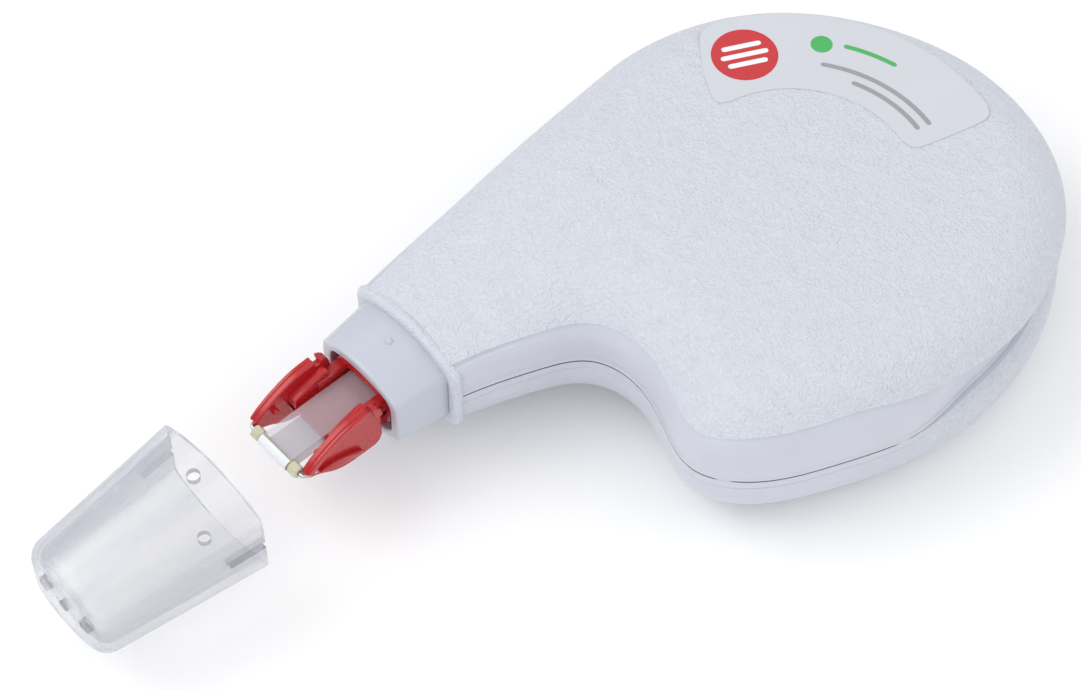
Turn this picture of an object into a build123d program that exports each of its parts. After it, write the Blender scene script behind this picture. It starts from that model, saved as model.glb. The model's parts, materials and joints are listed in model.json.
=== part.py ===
from build123d import *
import math
import os

# Correction tape roller, millimetres.
# The origin is on the flat underside, below the centre of the round tail.
# +X runs from the nose to the tail, +Z is up through the thickness, and the
# nose axis runs along X at Y = NOSE_Y, half way up the thickness.

# ---- overall sizes ----
TAIL_R = 31.0  # radius of the round tail
THICKNESS = 23.0  # thickness of the closed body
NOSE_LENGTH = 65.0  # tail centre to tip roller axis
NOSE_Y = 18.0  # offset of the nose axis from the tail centre
WALL = 1.8  # shell wall
EDGE_R = 4.5  # soft outer edge of both shells
MID_Z = THICKNESS / 2
TIP_X = -NOSE_LENGTH
PAST = 100.0  # longer than any piece, for cuts that go right through

BODY_FRONT_HALF = 8.4  # half width of the body at its front
BACK_JOIN = 95.0  # where the back edge meets the round tail, degrees
HEEL_JOIN = -98.0  # where the heel leaves it
BACK_POINT = (-24.0, 29.0)
BACK_SLOPE = 0.16  # of the back edge at the body's front
BELLY_SLOPE = 0.22  # of the finger rest there
RISE_SLOPE = 0.12  # of the upper and lower faces there
RISE_END_X = -12.0  # where the body reaches its full thickness
BELLY_POINTS = [
    (-19.0, -26.2), (-28.0, -21.0), (-31.2, -15.8), (-29.6, -9.0), (-28.0, -2.0), (-29.6, 3.0), (-35.0, 6.3),
]

# ---- clearances ----
RUNNING = 0.05  # radial, a wheel on its post
SEAT = 0.1  # a fixed piece in its pocket
SIDE_GAP = 0.3  # between turning faces
TOUCH = 0.01  # between two round faces that touch
TAPE_ROOM = 0.293  # round the tape loop in the head's bore

# ---- nose stations, measured back from the roller axis ----
COLLAR_FRONT = 12.5
COLLAR_WEB = 16.4
WEB_THICKNESS = 3.2
COLLAR_SHOULDER = 19.8
BODY_FRONT = 20.0
LIP_FRONT = 19.5
LIP_LENGTH = 1.5
GROOVE_START = 22.0
GROOVE_LENGTH = 1.2
SPIGOT_END = 24.5

# ---- tape ----
TAPE_WIDTH = 5.0
TAPE_T = 0.1
RUN_GAP = 0.1  # a run stands this far off the pack that it leaves

# ---- tip ----
ROLLER_R = 0.78
ROLLER_LENGTH = 8.0
ROLLER_END_R = 0.85
FACET_GAP = 0.15  # between the tape and the roller's faceted ends
LOOP_R = ROLLER_R + 0.02  # inside of the tape round the roller
AXLE_R = 0.25
AXLE_REACH = 5.0  # half width between the bent ends
AXLE_BACK = 1.5  # how far the bent ends run back into the arms
AXLE_SLANT = 0.7  # and how far they spread
AXLE_BEND_R = 0.3
ARM_OUTER = 5.4
ARM_INNER = 4.1
ARM_FRONT = 0.4
ARM_TIP_HALF = 0.9  # half height of an arm at its front
ARM_SHOULDER = (4.5, 3.2)  # station and height on the way up to the apex
ARM_APEX_X = 9.0
ARM_APEX = 4.2
ARM_REAR = 11.6
ARM_REAR_CUT = 1.0  # size of the slanted corners at the rear
HEAD_LOW = 3.6
HEAD_LOW_X = 6.5
HEAD_ROOT = 11.0  # where the sleeve starts
HEAD_SLEEVE = (4.75, 3.0)  # half width and half height inside the collar
HEAD_SLEEVE_CORNER = 2.2
HEAD_PASSAGE = (TAPE_WIDTH / 2 + 0.6, 1.7)
HEAD_PASSAGE_CORNER = 0.6
BRIDGE_X = 5.2
BRIDGE_T = 0.7
BRIDGE_ROOT = 0.1  # how far the bridge runs into the walls beside it
JOURNAL_BORE = math.hypot(TAPE_WIDTH / 2, LOOP_R + TAPE_T) + TAPE_ROOM
JOURNAL_R = JOURNAL_BORE + 0.75
JOURNAL_RING_R = JOURNAL_R + 0.3  # the ring behind the collar's web keeps the head in
JOURNAL_ROOT = 1.5  # how far the journal runs into the sleeve
JOURNAL_END = 20.4
PEG_R = 0.4
PEG_LENGTH = 1.2
PEG_PLACE = (3.0, 1.6)  # station and height
PEG_ROOT = 0.3

# ---- crowned sections: half width, half height of the side wall, half height of the crown ----
COLLAR_BORE_SECTION = (5.6, 2.3, JOURNAL_RING_R + 0.2)
GROOVE_SECTION = (6.2, 2.9, COLLAR_BORE_SECTION[2] + 0.6)
SPIGOT_SECTION = (6.9, 3.4, GROOVE_SECTION[2] + 0.6)
COLLAR_REAR_SECTION = (7.5, 3.9, SPIGOT_SECTION[2] + 0.6)
COLLAR_FRONT_SECTION = (6.9, 3.2, COLLAR_REAR_SECTION[2] - 0.65)
MOUTH_SECTION = (5.4, 2.9, COLLAR_FRONT_SECTION[2] - 1.45)
LIP_SECTION = (8.9, 4.9, COLLAR_REAR_SECTION[2] + 1.2)
SECTION_CORNER = 0.8
MOUTH_CORNER = 1.5
RIM_ROUND = 0.35
LIP_STEP = 0.3  # how far the lip stands above the body behind it
SNAP_BUMP_R = 0.55
SNAP_BUMP_X = 17.2
SNAP_BUMP_SINK = 0.12  # its centre lies this far inside the collar's surface

# ---- reels and gears ----
MODULE = 0.8
DRIVE_TEETH = 38
IDLER_TEETH = 15
TAKEUP_TEETH = 15
PRESSURE_ANGLE = 20.0
BACKLASH = 0.14
GEAR_Z = 3.2
GEAR_T = 2.0
SUPPLY = (11.5, -3.0)
TAKEUP = (-13.2, -1.5)
SUPPLY_POST_R = 3.0
TAKEUP_POST_R = 2.2
IDLER_POST_R = 1.6
TAKEUP_PIN_R = 0.9
SHOULDER = 1.2  # how far a seat stands out from its post
SLEEVE_R = 4.6  # sleeve of the drive gear, which the supply reel turns on
SUPPLY_HUB_R = 7.0
SUPPLY_FLANGE_R = 14.5
TAPE_PACK_R = 13.5
TAKEUP_HUB_R = 5.5
TAKEUP_FLANGE_R = 9.5
CARRIER_PACK_R = 7.6
FLANGE_T = 0.9
HUB_WALL = 1.4  # of the take-up reel's neck
REEL_WINDOW = (4.6, 2.2)
REEL_WINDOWS = 6
GEAR_RIM = 2.2
SPRING_ROOM = 0.8
DISC_T = 0.6
SPRING_T = 0.45
SPRING_R = 8.2

# ---- tape guides ----
GUIDE_X = -30.0
UPPER_GUIDE_R = 0.8
LOWER_GUIDE_R = 2.0
UPPER_PIN_R = 0.4
LOWER_PIN_R = 1.0
GUIDE_OVERHANG = 0.5  # guide rollers are this much longer than the tape's width, each end
PIN_SEAT = 3.0  # how far a guide pin goes into each shell's boss
GUIDE_BOSS_WALL = 0.8
TWIST_END = 21.2  # station where the runs lie flat
TWIST_STEPS = 6
LAP_GAP = 0.2  # between the flat loops and the twisted runs
RUN_OFFSET = 1.2  # each run from the nose axis at the guides

# ---- cap, measured from its mouth ----
CAP_REST = -8.8  # station of the mouth with the cap off
CAP_LENGTH = 21.5
CAP_WALL = 0.85
CAP_MOUTH_SECTION = LIP_SECTION
CAP_TIP_SECTION = (6.4, 4.1, 5.8)
CAP_MOUTH_CORNER = 1.4
CAP_TIP_CORNER = 2.4
CAP_INNER_CORNER = 0.4  # the inner corners are this much smaller
CAP_TIP_ROUND = 1.6
SNAP_HOLE_R = 0.8
SNAP_HOLE_X = 2.6
CAP_SLOT = (4.6, 1.0)
VENT_PITCH = 3.7
VENT_SIZE = 1.4

# ---- shell fastening ----
PIN_R = 1.2
PIN_LENGTH = 4.0
BOSS_R = 2.3
BOSS_INSET = 1.5  # bosses end this far inside the outer face
POST_WALL = 2.2  # round the pins that hold the reels' posts
PIN_PLACES = [(3.0, 26.0), (-25.5, -17.0), (-26.0, 24.0), (25.6, 12.8), (-2.0, -27.0)]

# ---- label ----
LABEL_INNER_R = 14.3
LABEL_OUTER_R = 26.2
LABEL_ANGLES = (-20.0, 78.0)
LABEL_CORNER = 1.5
LABEL_T = 0.12

TAPE_Z = MID_Z - TAPE_WIDTH / 2
REEL_TOP = MID_Z + TAPE_WIDTH / 2 + SEAT + FLANGE_T
REEL_BOTTOM = MID_Z - TAPE_WIDTH / 2 - SEAT - FLANGE_T
POST_TOP = REEL_TOP + SIDE_GAP
ROOT = 0.5  # how far a post runs into the wall that it stands on
FLOOR_ROOT = WALL - ROOT
CEILING_ROOT = THICKNESS - WALL + ROOT
GUIDE_HALF = TAPE_WIDTH / 2 + GUIDE_OVERHANG
GUIDE_SEAT = GUIDE_HALF + SIDE_GAP  # faces of the guide bosses, from the seam
UPPER_GUIDE = (GUIDE_X, NOSE_Y + RUN_OFFSET - UPPER_GUIDE_R - RUN_GAP)
LOWER_GUIDE = (GUIDE_X, NOSE_Y - RUN_OFFSET - LOWER_GUIDE_R - RUN_GAP)
GUIDE_PINS = [(UPPER_GUIDE, UPPER_PIN_R), (LOWER_GUIDE, LOWER_PIN_R)]


def station(distance):
    """X of a place on the nose, given its distance behind the roller axis."""
    return TIP_X + distance


def polar_point(radius, degrees):
    """Point about the tail centre."""
    return (radius * math.cos(math.radians(degrees)), radius * math.sin(math.radians(degrees)))


def nose_plane(distance):
    """Plane across the nose axis: local x is +Y, local y is +Z, normal +X."""
    return Plane(origin=(station(distance), NOSE_Y, MID_Z), x_dir=(0, 1, 0), z_dir=(1, 0, 0))


def grown(section, amount):
    """A crowned section made larger by a clearance, or smaller by a wall."""
    return tuple(size + amount for size in section)


def crowned_face(section, corner=SECTION_CORNER):
    """Face with flat sides and an arched top and bottom."""
    half_width, side, crown = section
    with BuildSketch() as face:
        with BuildLine():
            ThreePointArc((-half_width, side), (0, crown), (half_width, side))
            Line((half_width, side), (half_width, -side))
            ThreePointArc((half_width, -side), (0, -crown), (-half_width, -side))
            Line((-half_width, -side), (-half_width, side))
        make_face()
        fillet(face.vertices(), corner)
    return face.sketch


def drawn_in(points, inset):
    """Inner points of a line of points, moved square to the line towards the body."""
    moved = []
    for before, point, after in zip(points, points[1:], points[2:]):
        along = (after[0] - before[0], after[1] - before[1])
        length = math.hypot(*along)
        moved.append((point[0] + inset * along[1] / length, point[1] - inset * along[0] / length))
    return moved


def body_outline(inset):
    """Outline of the body seen from above: straight back, round tail, heel and finger rest."""
    radius = TAIL_R - inset
    front = station(BODY_FRONT) + inset
    back_edge = NOSE_Y + BODY_FRONT_HALF - inset
    belly_edge = NOSE_Y - BODY_FRONT_HALF + inset
    back_join = polar_point(radius, BACK_JOIN)
    heel_join = polar_point(radius, HEEL_JOIN)
    belly = drawn_in([heel_join, *BELLY_POINTS, (front, belly_edge)], inset)
    with BuildSketch() as outline:
        with BuildLine():
            Line((front, belly_edge), (front, back_edge))
            Spline(
                (front, back_edge), (BACK_POINT[0], BACK_POINT[1] - inset), back_join,
                tangents=[(1, BACK_SLOPE), polar_point(1, BACK_JOIN - 90)],
            )
            ThreePointArc(back_join, (radius, 0), heel_join)
            Spline(
                heel_join, *belly, (front, belly_edge),
                tangents=[polar_point(1, HEEL_JOIN - 90), (-1, BELLY_SLOPE)],
            )
        make_face()
    return outline.sketch


def half_form(side, inset):
    """Half of the body above (side 1) or below (side -1) the seam, drawn in by a wall."""
    depth = side * (MID_Z - inset)
    face_z = MID_Z + depth
    nose_z = MID_Z + side * (LIP_SECTION[2] - LIP_STEP - inset)
    front = station(BODY_FRONT)
    with BuildPart() as form:
        with BuildSketch(Plane.XY.offset(MID_Z)):
            add(body_outline(inset))
        extrude(amount=depth)
        with BuildSketch(Plane.XZ):
            with BuildLine():
                Polyline((PAST, face_z), (PAST, MID_Z), (-PAST, MID_Z), (-PAST, nose_z), (front, nose_z))
                Spline(
                    (front, nose_z), (RISE_END_X, face_z),
                    tangents=[(1, RISE_SLOPE * side), (1, 0)],
                )
                Line((RISE_END_X, face_z), (PAST, face_z))
            make_face()
        extrude(amount=PAST, both=True, mode=Mode.INTERSECT)
        if not inset:
            outer = form.faces().filter_by(lambda face: side * face.normal_at().Z > 0.5)
            rim = [edge for edge in outer.edges() if sum(edge in face.edges() for face in outer) == 1]
            fillet([edge for edge in rim if edge.center().X > front + LIP_STEP], EDGE_R)
    return form.part


def crowned_block(start, end, section, corner=SECTION_CORNER):
    """Straight crowned block between two stations of the nose."""
    with BuildPart() as block:
        with BuildSketch(nose_plane(start)):
            add(crowned_face(section, corner))
        extrude(amount=end - start)
    return block.part


def seam_half(piece, side):
    """The half of a piece that lies above (side 1) or below (side -1) the seam."""
    return piece & (Pos(0, 0, MID_Z + side * PAST) * Box(2 * PAST, 2 * PAST, 2 * PAST))


def posts(places):
    """Round posts, each given as a place, a radius, a bottom and a top."""
    with BuildPart() as group:
        for place, radius, bottom, top in places:
            with Locations((place[0], place[1], bottom)):
                Cylinder(radius, top - bottom, align=(Align.CENTER, Align.CENTER, Align.MIN))
    return group.part


def gear_face(teeth, phase):
    """Involute gear face, with one tooth centred on the phase angle."""
    pitch_r = MODULE * teeth / 2
    base_r = pitch_r * math.cos(math.radians(PRESSURE_ANGLE))
    tip_r = pitch_r + MODULE
    root_r = pitch_r - 1.25 * MODULE
    involute = math.tan(math.radians(PRESSURE_ANGLE)) - math.radians(PRESSURE_ANGLE)
    half_tooth = (math.pi * MODULE / 2 - BACKLASH / 2) / (2 * pitch_r)

    def flank(radius):
        roll = math.sqrt(max((radius / base_r) ** 2 - 1, 0))
        return half_tooth + involute - (roll - math.atan(roll))

    def at(radius, angle):
        return (radius * math.cos(angle), radius * math.sin(angle))

    flank_start = max(base_r, root_r)
    radii = [flank_start + (tip_r - flank_start) * share for share in (0, 0.35, 0.7, 1)]
    step = 2 * math.pi / teeth
    with BuildSketch() as face:
        with BuildLine():
            for number in range(teeth):
                middle = phase + number * step
                left = [at(r, middle + flank(r)) for r in radii]
                right = [at(r, middle - flank(r)) for r in radii]
                root_right = at(root_r, middle - flank(radii[0]))
                root_left = at(root_r, middle + flank(radii[0]))
                next_root = at(root_r, middle + step - flank(radii[0]))
                if base_r > root_r:
                    Line(root_right, right[0])
                    Line(left[0], root_left)
                Spline(right)
                Line(right[-1], left[-1])
                Spline(left[::-1])
                Line(root_left, next_root)
        make_face()
    return face.sketch


def pitch_radius(teeth):
    return MODULE * teeth / 2


def idler_place():
    """Centre of the idler, in mesh with both the drive gear and the take-up gear."""
    to_supply = pitch_radius(DRIVE_TEETH) + pitch_radius(IDLER_TEETH)
    to_takeup = pitch_radius(TAKEUP_TEETH) + pitch_radius(IDLER_TEETH)
    across = (TAKEUP[0] - SUPPLY[0], TAKEUP[1] - SUPPLY[1])
    apart = math.hypot(*across)
    along = (to_supply ** 2 - to_takeup ** 2 + apart ** 2) / (2 * apart)
    aside = math.sqrt(to_supply ** 2 - along ** 2)
    unit = (across[0] / apart, across[1] / apart)
    return (SUPPLY[0] + along * unit[0] + aside * unit[1], SUPPLY[1] + along * unit[1] - aside * unit[0])


def meshing_phase(centre, teeth, other_centre, other_teeth, other_phase):
    """Phase that puts a gap of this gear on the tooth of the gear that it meets."""
    direction = math.atan2(centre[1] - other_centre[1], centre[0] - other_centre[0])
    pitch = math.pi * MODULE
    along = pitch_radius(other_teeth) * (other_phase - direction) + pitch / 2
    return direction + math.pi - along / pitch_radius(teeth)


def tangent_run(first, first_side, second, second_side):
    """Ends of the straight run that touches two circles. A side is the circle's radius,
    positive where the circle lies to the left of the run."""
    dx = second[0] - first[0]
    dy = second[1] - first[1]
    apart = math.hypot(dx, dy)
    heading = math.atan2(dy, dx) - math.asin((second_side - first_side) / apart)
    left = (-math.sin(heading), math.cos(heading))
    start = (first[0] - first_side * left[0], first[1] - first_side * left[1])
    end = (second[0] - second_side * left[0], second[1] - second_side * left[1])
    return start, end


def twisted_run(side):
    """Thin run that turns a quarter turn between the guides and the head."""
    start = GUIDE_X - TIP_X
    flat_offset = ROLLER_R + TAPE_T / 2
    with BuildPart() as run:
        for step in range(TWIST_STEPS + 1):
            share = step / TWIST_STEPS
            turn = math.radians(90 * share)
            reach = RUN_OFFSET + (flat_offset - RUN_OFFSET) * share
            x = station(start + (TWIST_END - start) * share)
            y = NOSE_Y + side * reach * math.cos(turn)
            z = MID_Z - side * reach * math.sin(turn)
            across = (0, math.cos(turn), -math.sin(turn))
            with BuildSketch(Plane(origin=(x, y, z), x_dir=across, z_dir=(-1, 0, 0))):
                Rectangle(TAPE_T, TAPE_WIDTH)
        loft()
    return run.part


os.makedirs("parts", exist_ok=True)
IDLER = idler_place()

# ---- shells ----
collar_room = [
    crowned_block(LIP_FRONT - 1, COLLAR_SHOULDER + SEAT, grown(COLLAR_REAR_SECTION, SEAT)),
    crowned_block(COLLAR_SHOULDER, GROOVE_START, grown(SPIGOT_SECTION, SEAT)),
    crowned_block(GROOVE_START - 1, GROOVE_START + GROOVE_LENGTH + 1, grown(GROOVE_SECTION, SEAT)),
    crowned_block(GROOVE_START + GROOVE_LENGTH, SPIGOT_END + 1, grown(SPIGOT_SECTION, SEAT)),
]
lip_ring = crowned_block(LIP_FRONT, LIP_FRONT + LIP_LENGTH, LIP_SECTION)
nose_block = Pos(station(SPIGOT_END) - PAST, 0, MID_Z) * Box(2 * PAST, 2 * PAST, 2 * PAST)
BOSS_PINS = [(SUPPLY, PIN_R), (TAKEUP, TAKEUP_PIN_R)]

lower_form = half_form(-1, 0)
lower_lip = seam_half(lip_ring, -1)
lower_hollow = half_form(-1, WALL) - nose_block
lower_bosses = posts(
    [(place, BOSS_R, 0, MID_Z) for place in PIN_PLACES]
    + [(place, radius + GUIDE_BOSS_WALL, 0, MID_Z - GUIDE_SEAT) for place, radius in GUIDE_PINS]
) & half_form(-1, BOSS_INSET)
gear_seat = GEAR_Z - SIDE_GAP
lower_posts = posts([
    (SUPPLY, SUPPLY_POST_R, FLOOR_ROOT, POST_TOP),
    (SUPPLY, SUPPLY_POST_R + SHOULDER, FLOOR_ROOT, gear_seat),
    (TAKEUP, TAKEUP_POST_R, FLOOR_ROOT, POST_TOP),
    (TAKEUP, TAKEUP_POST_R + SHOULDER, FLOOR_ROOT, gear_seat),
    (IDLER, IDLER_POST_R, FLOOR_ROOT, GEAR_Z + GEAR_T + SIDE_GAP),
    (IDLER, IDLER_POST_R + SHOULDER, FLOOR_ROOT, gear_seat),
])
socket_reach = GUIDE_SEAT + PIN_SEAT
guide_sockets = posts([
    (place, radius + RUNNING, MID_Z - socket_reach, MID_Z + socket_reach) for place, radius in GUIDE_PINS
])
with BuildPart() as lower_shell:
    add(lower_form)
    add(lower_lip)
    add(lower_hollow, mode=Mode.SUBTRACT)
    for room in collar_room:
        add(room, mode=Mode.SUBTRACT)
    add(lower_bosses)
    add(lower_posts)
    with Locations([(x, y, MID_Z) for x, y in PIN_PLACES]):
        Hole(PIN_R + RUNNING, depth=PIN_LENGTH + SIDE_GAP)
    for place, radius in BOSS_PINS:
        with Locations((place[0], place[1], POST_TOP)):
            Hole(radius + RUNNING, depth=PIN_LENGTH + SIDE_GAP)
    add(guide_sockets, mode=Mode.SUBTRACT)
lower_shell.part.label = "lower_shell"
export_step(lower_shell.part, "parts/lower_shell.step")

upper_form = half_form(1, 0)
upper_lip = seam_half(lip_ring, 1)
upper_hollow = half_form(1, WALL) - nose_block
upper_bosses = posts(
    [(place, BOSS_R, MID_Z, THICKNESS) for place in PIN_PLACES]
    + [(place, radius + GUIDE_BOSS_WALL, MID_Z + GUIDE_SEAT, THICKNESS) for place, radius in GUIDE_PINS]
) & half_form(1, BOSS_INSET)
upper_posts = posts(
    [(place, radius + POST_WALL, POST_TOP + SEAT, CEILING_ROOT) for place, radius in BOSS_PINS]
    + [(place, radius, POST_TOP - PIN_LENGTH, CEILING_ROOT) for place, radius in BOSS_PINS]
    + [(place, PIN_R, MID_Z - PIN_LENGTH, CEILING_ROOT) for place in PIN_PLACES]
)
with BuildPart() as upper_shell:
    add(upper_form)
    add(upper_lip)
    add(upper_hollow, mode=Mode.SUBTRACT)
    for room in collar_room:
        add(room, mode=Mode.SUBTRACT)
    add(upper_bosses)
    add(upper_posts)
    add(guide_sockets, mode=Mode.SUBTRACT)
upper_shell.part.label = "upper_shell"
export_step(upper_shell.part, "parts/upper_shell.step")

# ---- nose collar ----
bump_share = (SNAP_BUMP_X - COLLAR_FRONT) / (COLLAR_SHOULDER - COLLAR_FRONT)
bump_crown = COLLAR_FRONT_SECTION[2] + (COLLAR_REAR_SECTION[2] - COLLAR_FRONT_SECTION[2]) * bump_share
bump_height = bump_crown - SNAP_BUMP_SINK
with BuildPart() as nose_collar:
    with BuildSketch(nose_plane(COLLAR_FRONT)):
        add(crowned_face(COLLAR_FRONT_SECTION))
    with BuildSketch(nose_plane(COLLAR_SHOULDER)):
        add(crowned_face(COLLAR_REAR_SECTION))
    loft()
    add(crowned_block(COLLAR_SHOULDER, GROOVE_START, SPIGOT_SECTION))
    add(crowned_block(GROOVE_START, GROOVE_START + GROOVE_LENGTH, GROOVE_SECTION))
    add(crowned_block(GROOVE_START + GROOVE_LENGTH, SPIGOT_END, SPIGOT_SECTION))
    with BuildSketch(nose_plane(COLLAR_FRONT)):
        add(crowned_face(MOUTH_SECTION, MOUTH_CORNER))
    extrude(amount=COLLAR_WEB - COLLAR_FRONT, mode=Mode.SUBTRACT)
    with BuildSketch(nose_plane(COLLAR_WEB)):
        Circle(JOURNAL_R + RUNNING)
    extrude(amount=WEB_THICKNESS, mode=Mode.SUBTRACT)
    with BuildSketch(nose_plane(COLLAR_WEB + WEB_THICKNESS)):
        add(crowned_face(COLLAR_BORE_SECTION))
    extrude(amount=SPIGOT_END - COLLAR_WEB - WEB_THICKNESS, mode=Mode.SUBTRACT)
    front_face = nose_collar.faces().sort_by(Axis.X)[0]
    fillet(front_face.outer_wire().edges(), RIM_ROUND)
    with Locations([(station(SNAP_BUMP_X), NOSE_Y, MID_Z + side * bump_height) for side in (1, -1)]):
        Sphere(SNAP_BUMP_R)
nose_collar.part.label = "nose_collar"
export_step(nose_collar.part, "parts/nose_collar.step")

# ---- cap ----
CAP_TIP = CAP_REST - CAP_LENGTH
with BuildPart() as cap:
    with BuildSketch(nose_plane(CAP_REST)):
        add(crowned_face(CAP_MOUTH_SECTION, CAP_MOUTH_CORNER))
    with BuildSketch(nose_plane(CAP_TIP)):
        add(crowned_face(CAP_TIP_SECTION, CAP_TIP_CORNER))
    loft()
    fillet(cap.faces().sort_by(Axis.X)[0].edges(), CAP_TIP_ROUND)
    with BuildSketch(nose_plane(CAP_REST)):
        add(crowned_face(grown(CAP_MOUTH_SECTION, -CAP_WALL), CAP_MOUTH_CORNER - CAP_INNER_CORNER))
    with BuildSketch(nose_plane(CAP_TIP + CAP_WALL)):
        add(crowned_face(grown(CAP_TIP_SECTION, -CAP_WALL), CAP_TIP_CORNER - CAP_INNER_CORNER))
    loft(mode=Mode.SUBTRACT)
    with BuildSketch(Plane.XY.offset(MID_Z)):
        with Locations((station(CAP_REST - SNAP_HOLE_X), NOSE_Y)):
            Circle(SNAP_HOLE_R)
    extrude(amount=PAST, both=True, mode=Mode.SUBTRACT)
    with BuildSketch(Plane.XZ.offset(-NOSE_Y)):
        with Locations((station(CAP_REST), MID_Z)):
            Rectangle(2 * CAP_SLOT[0], CAP_SLOT[1])
    extrude(amount=PAST, both=True, mode=Mode.SUBTRACT)
    with BuildSketch(nose_plane(CAP_TIP)):
        Circle(VENT_SIZE / 2)
        with Locations((VENT_PITCH, 0), (-VENT_PITCH, 0)):
            Rectangle(VENT_SIZE, VENT_SIZE)
    extrude(amount=2 * CAP_WALL, mode=Mode.SUBTRACT)
cap.part.label = "cap"
export_step(cap.part, "parts/cap.step")

# ---- tip head ----
head_low_z = MID_Z - HEAD_LOW
sleeve_end = COLLAR_WEB - SIDE_GAP
ring_start = COLLAR_WEB + WEB_THICKNESS + SEAT
arm_top = [
    (station(ARM_FRONT), MID_Z + ARM_TIP_HALF),
    (station(ARM_SHOULDER[0]), MID_Z + ARM_SHOULDER[1]),
    (station(ARM_APEX_X), MID_Z + ARM_APEX),
]
arm_foot = (station(ARM_FRONT), MID_Z - ARM_TIP_HALF)
with BuildPart() as tip_head:
    with BuildSketch(Plane.XZ.offset(-NOSE_Y)):
        with BuildLine():
            Spline(arm_top, tangents=[(1, 1), (1, 0.1)])
            Polyline(
                arm_top[-1],
                (station(ARM_REAR - ARM_REAR_CUT), MID_Z + ARM_APEX - ARM_REAR_CUT),
                (station(ARM_REAR), MID_Z + ARM_REAR_CUT),
                (station(ARM_REAR), head_low_z + ARM_REAR_CUT),
                (station(ARM_REAR - ARM_REAR_CUT), head_low_z),
                (station(HEAD_LOW_X), head_low_z),
            )
            Spline((station(HEAD_LOW_X), head_low_z), arm_foot, tangents=[(-1, 0), (-1, 1)])
            Line(arm_foot, arm_top[0])
        make_face()
    extrude(amount=ARM_OUTER, both=True)
    with Locations((station(0), NOSE_Y, MID_Z)):
        Box(2 * ARM_REAR + 2, 2 * ARM_INNER, 4 * ARM_APEX, mode=Mode.SUBTRACT)
    with BuildSketch(nose_plane(HEAD_ROOT)):
        RectangleRounded(2 * HEAD_SLEEVE[0], 2 * HEAD_SLEEVE[1], HEAD_SLEEVE_CORNER)
    extrude(amount=sleeve_end - HEAD_ROOT)
    with BuildSketch(nose_plane(HEAD_ROOT)):
        RectangleRounded(2 * HEAD_PASSAGE[0], 2 * HEAD_PASSAGE[1], HEAD_PASSAGE_CORNER)
    extrude(amount=COLLAR_WEB, mode=Mode.SUBTRACT)
    for start, radius in ((sleeve_end - JOURNAL_ROOT, JOURNAL_R), (ring_start, JOURNAL_RING_R)):
        with BuildSketch(nose_plane(start)):
            Circle(radius)
            Circle(JOURNAL_BORE, mode=Mode.SUBTRACT)
        extrude(amount=JOURNAL_END - start)
    for end, half_width in ((sleeve_end - HEAD_PASSAGE_CORNER, HEAD_PASSAGE[0]), (ARM_REAR, ARM_INNER)):
        with Locations((station((BRIDGE_X + end) / 2), NOSE_Y, MID_Z)):
            Box(end - BRIDGE_X, 2 * (half_width + BRIDGE_ROOT), BRIDGE_T)
    for side in (1, -1):
        with Locations(Plane.XZ.offset(-NOSE_Y - side * (ARM_INNER - PEG_ROOT))):
            with Locations((station(PEG_PLACE[0]), MID_Z + PEG_PLACE[1])):
                Cylinder(PEG_R, PEG_LENGTH)
axle_path = FilletPolyline(
    (station(AXLE_BACK), NOSE_Y - AXLE_REACH, MID_Z),
    (station(0), NOSE_Y - AXLE_REACH + AXLE_SLANT, MID_Z),
    (station(0), NOSE_Y + AXLE_REACH - AXLE_SLANT, MID_Z),
    (station(AXLE_BACK), NOSE_Y + AXLE_REACH, MID_Z),
    radius=AXLE_BEND_R,
)


def axle_rod(radius):
    """Round wire along the bent axle."""
    with BuildPart() as rod:
        with BuildSketch(Plane(origin=axle_path @ 0, z_dir=axle_path % 0)):
            Circle(radius)
        sweep(path=axle_path)
    return rod.part


axle_wire = axle_rod(AXLE_R)
tip_head_part = tip_head.part - axle_rod(AXLE_R + TOUCH)
tip_head_part.label = "tip_head"
export_step(tip_head_part, "parts/tip_head.step")
axle_wire.label = "axle_wire"
export_step(axle_wire, "parts/axle_wire.step")

# ---- tip roller ----
with BuildPart() as tip_roller:
    with BuildSketch(Plane.XZ.offset(-NOSE_Y)):
        with Locations((station(0), MID_Z)):
            Circle(ROLLER_R)
    extrude(amount=ROLLER_LENGTH / 2, both=True)
    end_start = TAPE_WIDTH / 2 + FACET_GAP
    for side in (1, -1):
        with BuildSketch(Plane.XZ.offset(-NOSE_Y - side * end_start)):
            with Locations((station(0), MID_Z)):
                RegularPolygon(ROLLER_END_R, 6, major_radius=False)
        extrude(amount=-side * (ROLLER_LENGTH / 2 - end_start))
    with BuildSketch(Plane.XZ.offset(-NOSE_Y)):
        with Locations((station(0), MID_Z)):
            Circle(AXLE_R + RUNNING)
    extrude(amount=ROLLER_LENGTH, both=True, mode=Mode.SUBTRACT)
tip_roller.part.label = "tip_roller"
export_step(tip_roller.part, "parts/tip_roller.step")

# ---- tape at the tip ----
LOOP_END = TWIST_END - LAP_GAP
with BuildPart() as tape_loop:
    with BuildSketch(Plane.XZ.offset(-NOSE_Y)):
        with Locations((station(0), MID_Z)):
            Circle(LOOP_R + TAPE_T)
            Circle(LOOP_R, mode=Mode.SUBTRACT)
        with Locations((station(ARM_REAR / 2), MID_Z)):
            Rectangle(ARM_REAR, 4 * LOOP_R, mode=Mode.SUBTRACT)
        with Locations((station(LOOP_END / 2), MID_Z - LOOP_R - TAPE_T / 2)):
            Rectangle(LOOP_END, TAPE_T)
    extrude(amount=TAPE_WIDTH / 2, both=True)
tape_loop.part.label = "tape_loop"
export_step(tape_loop.part, "parts/tape_loop.step")

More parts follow.
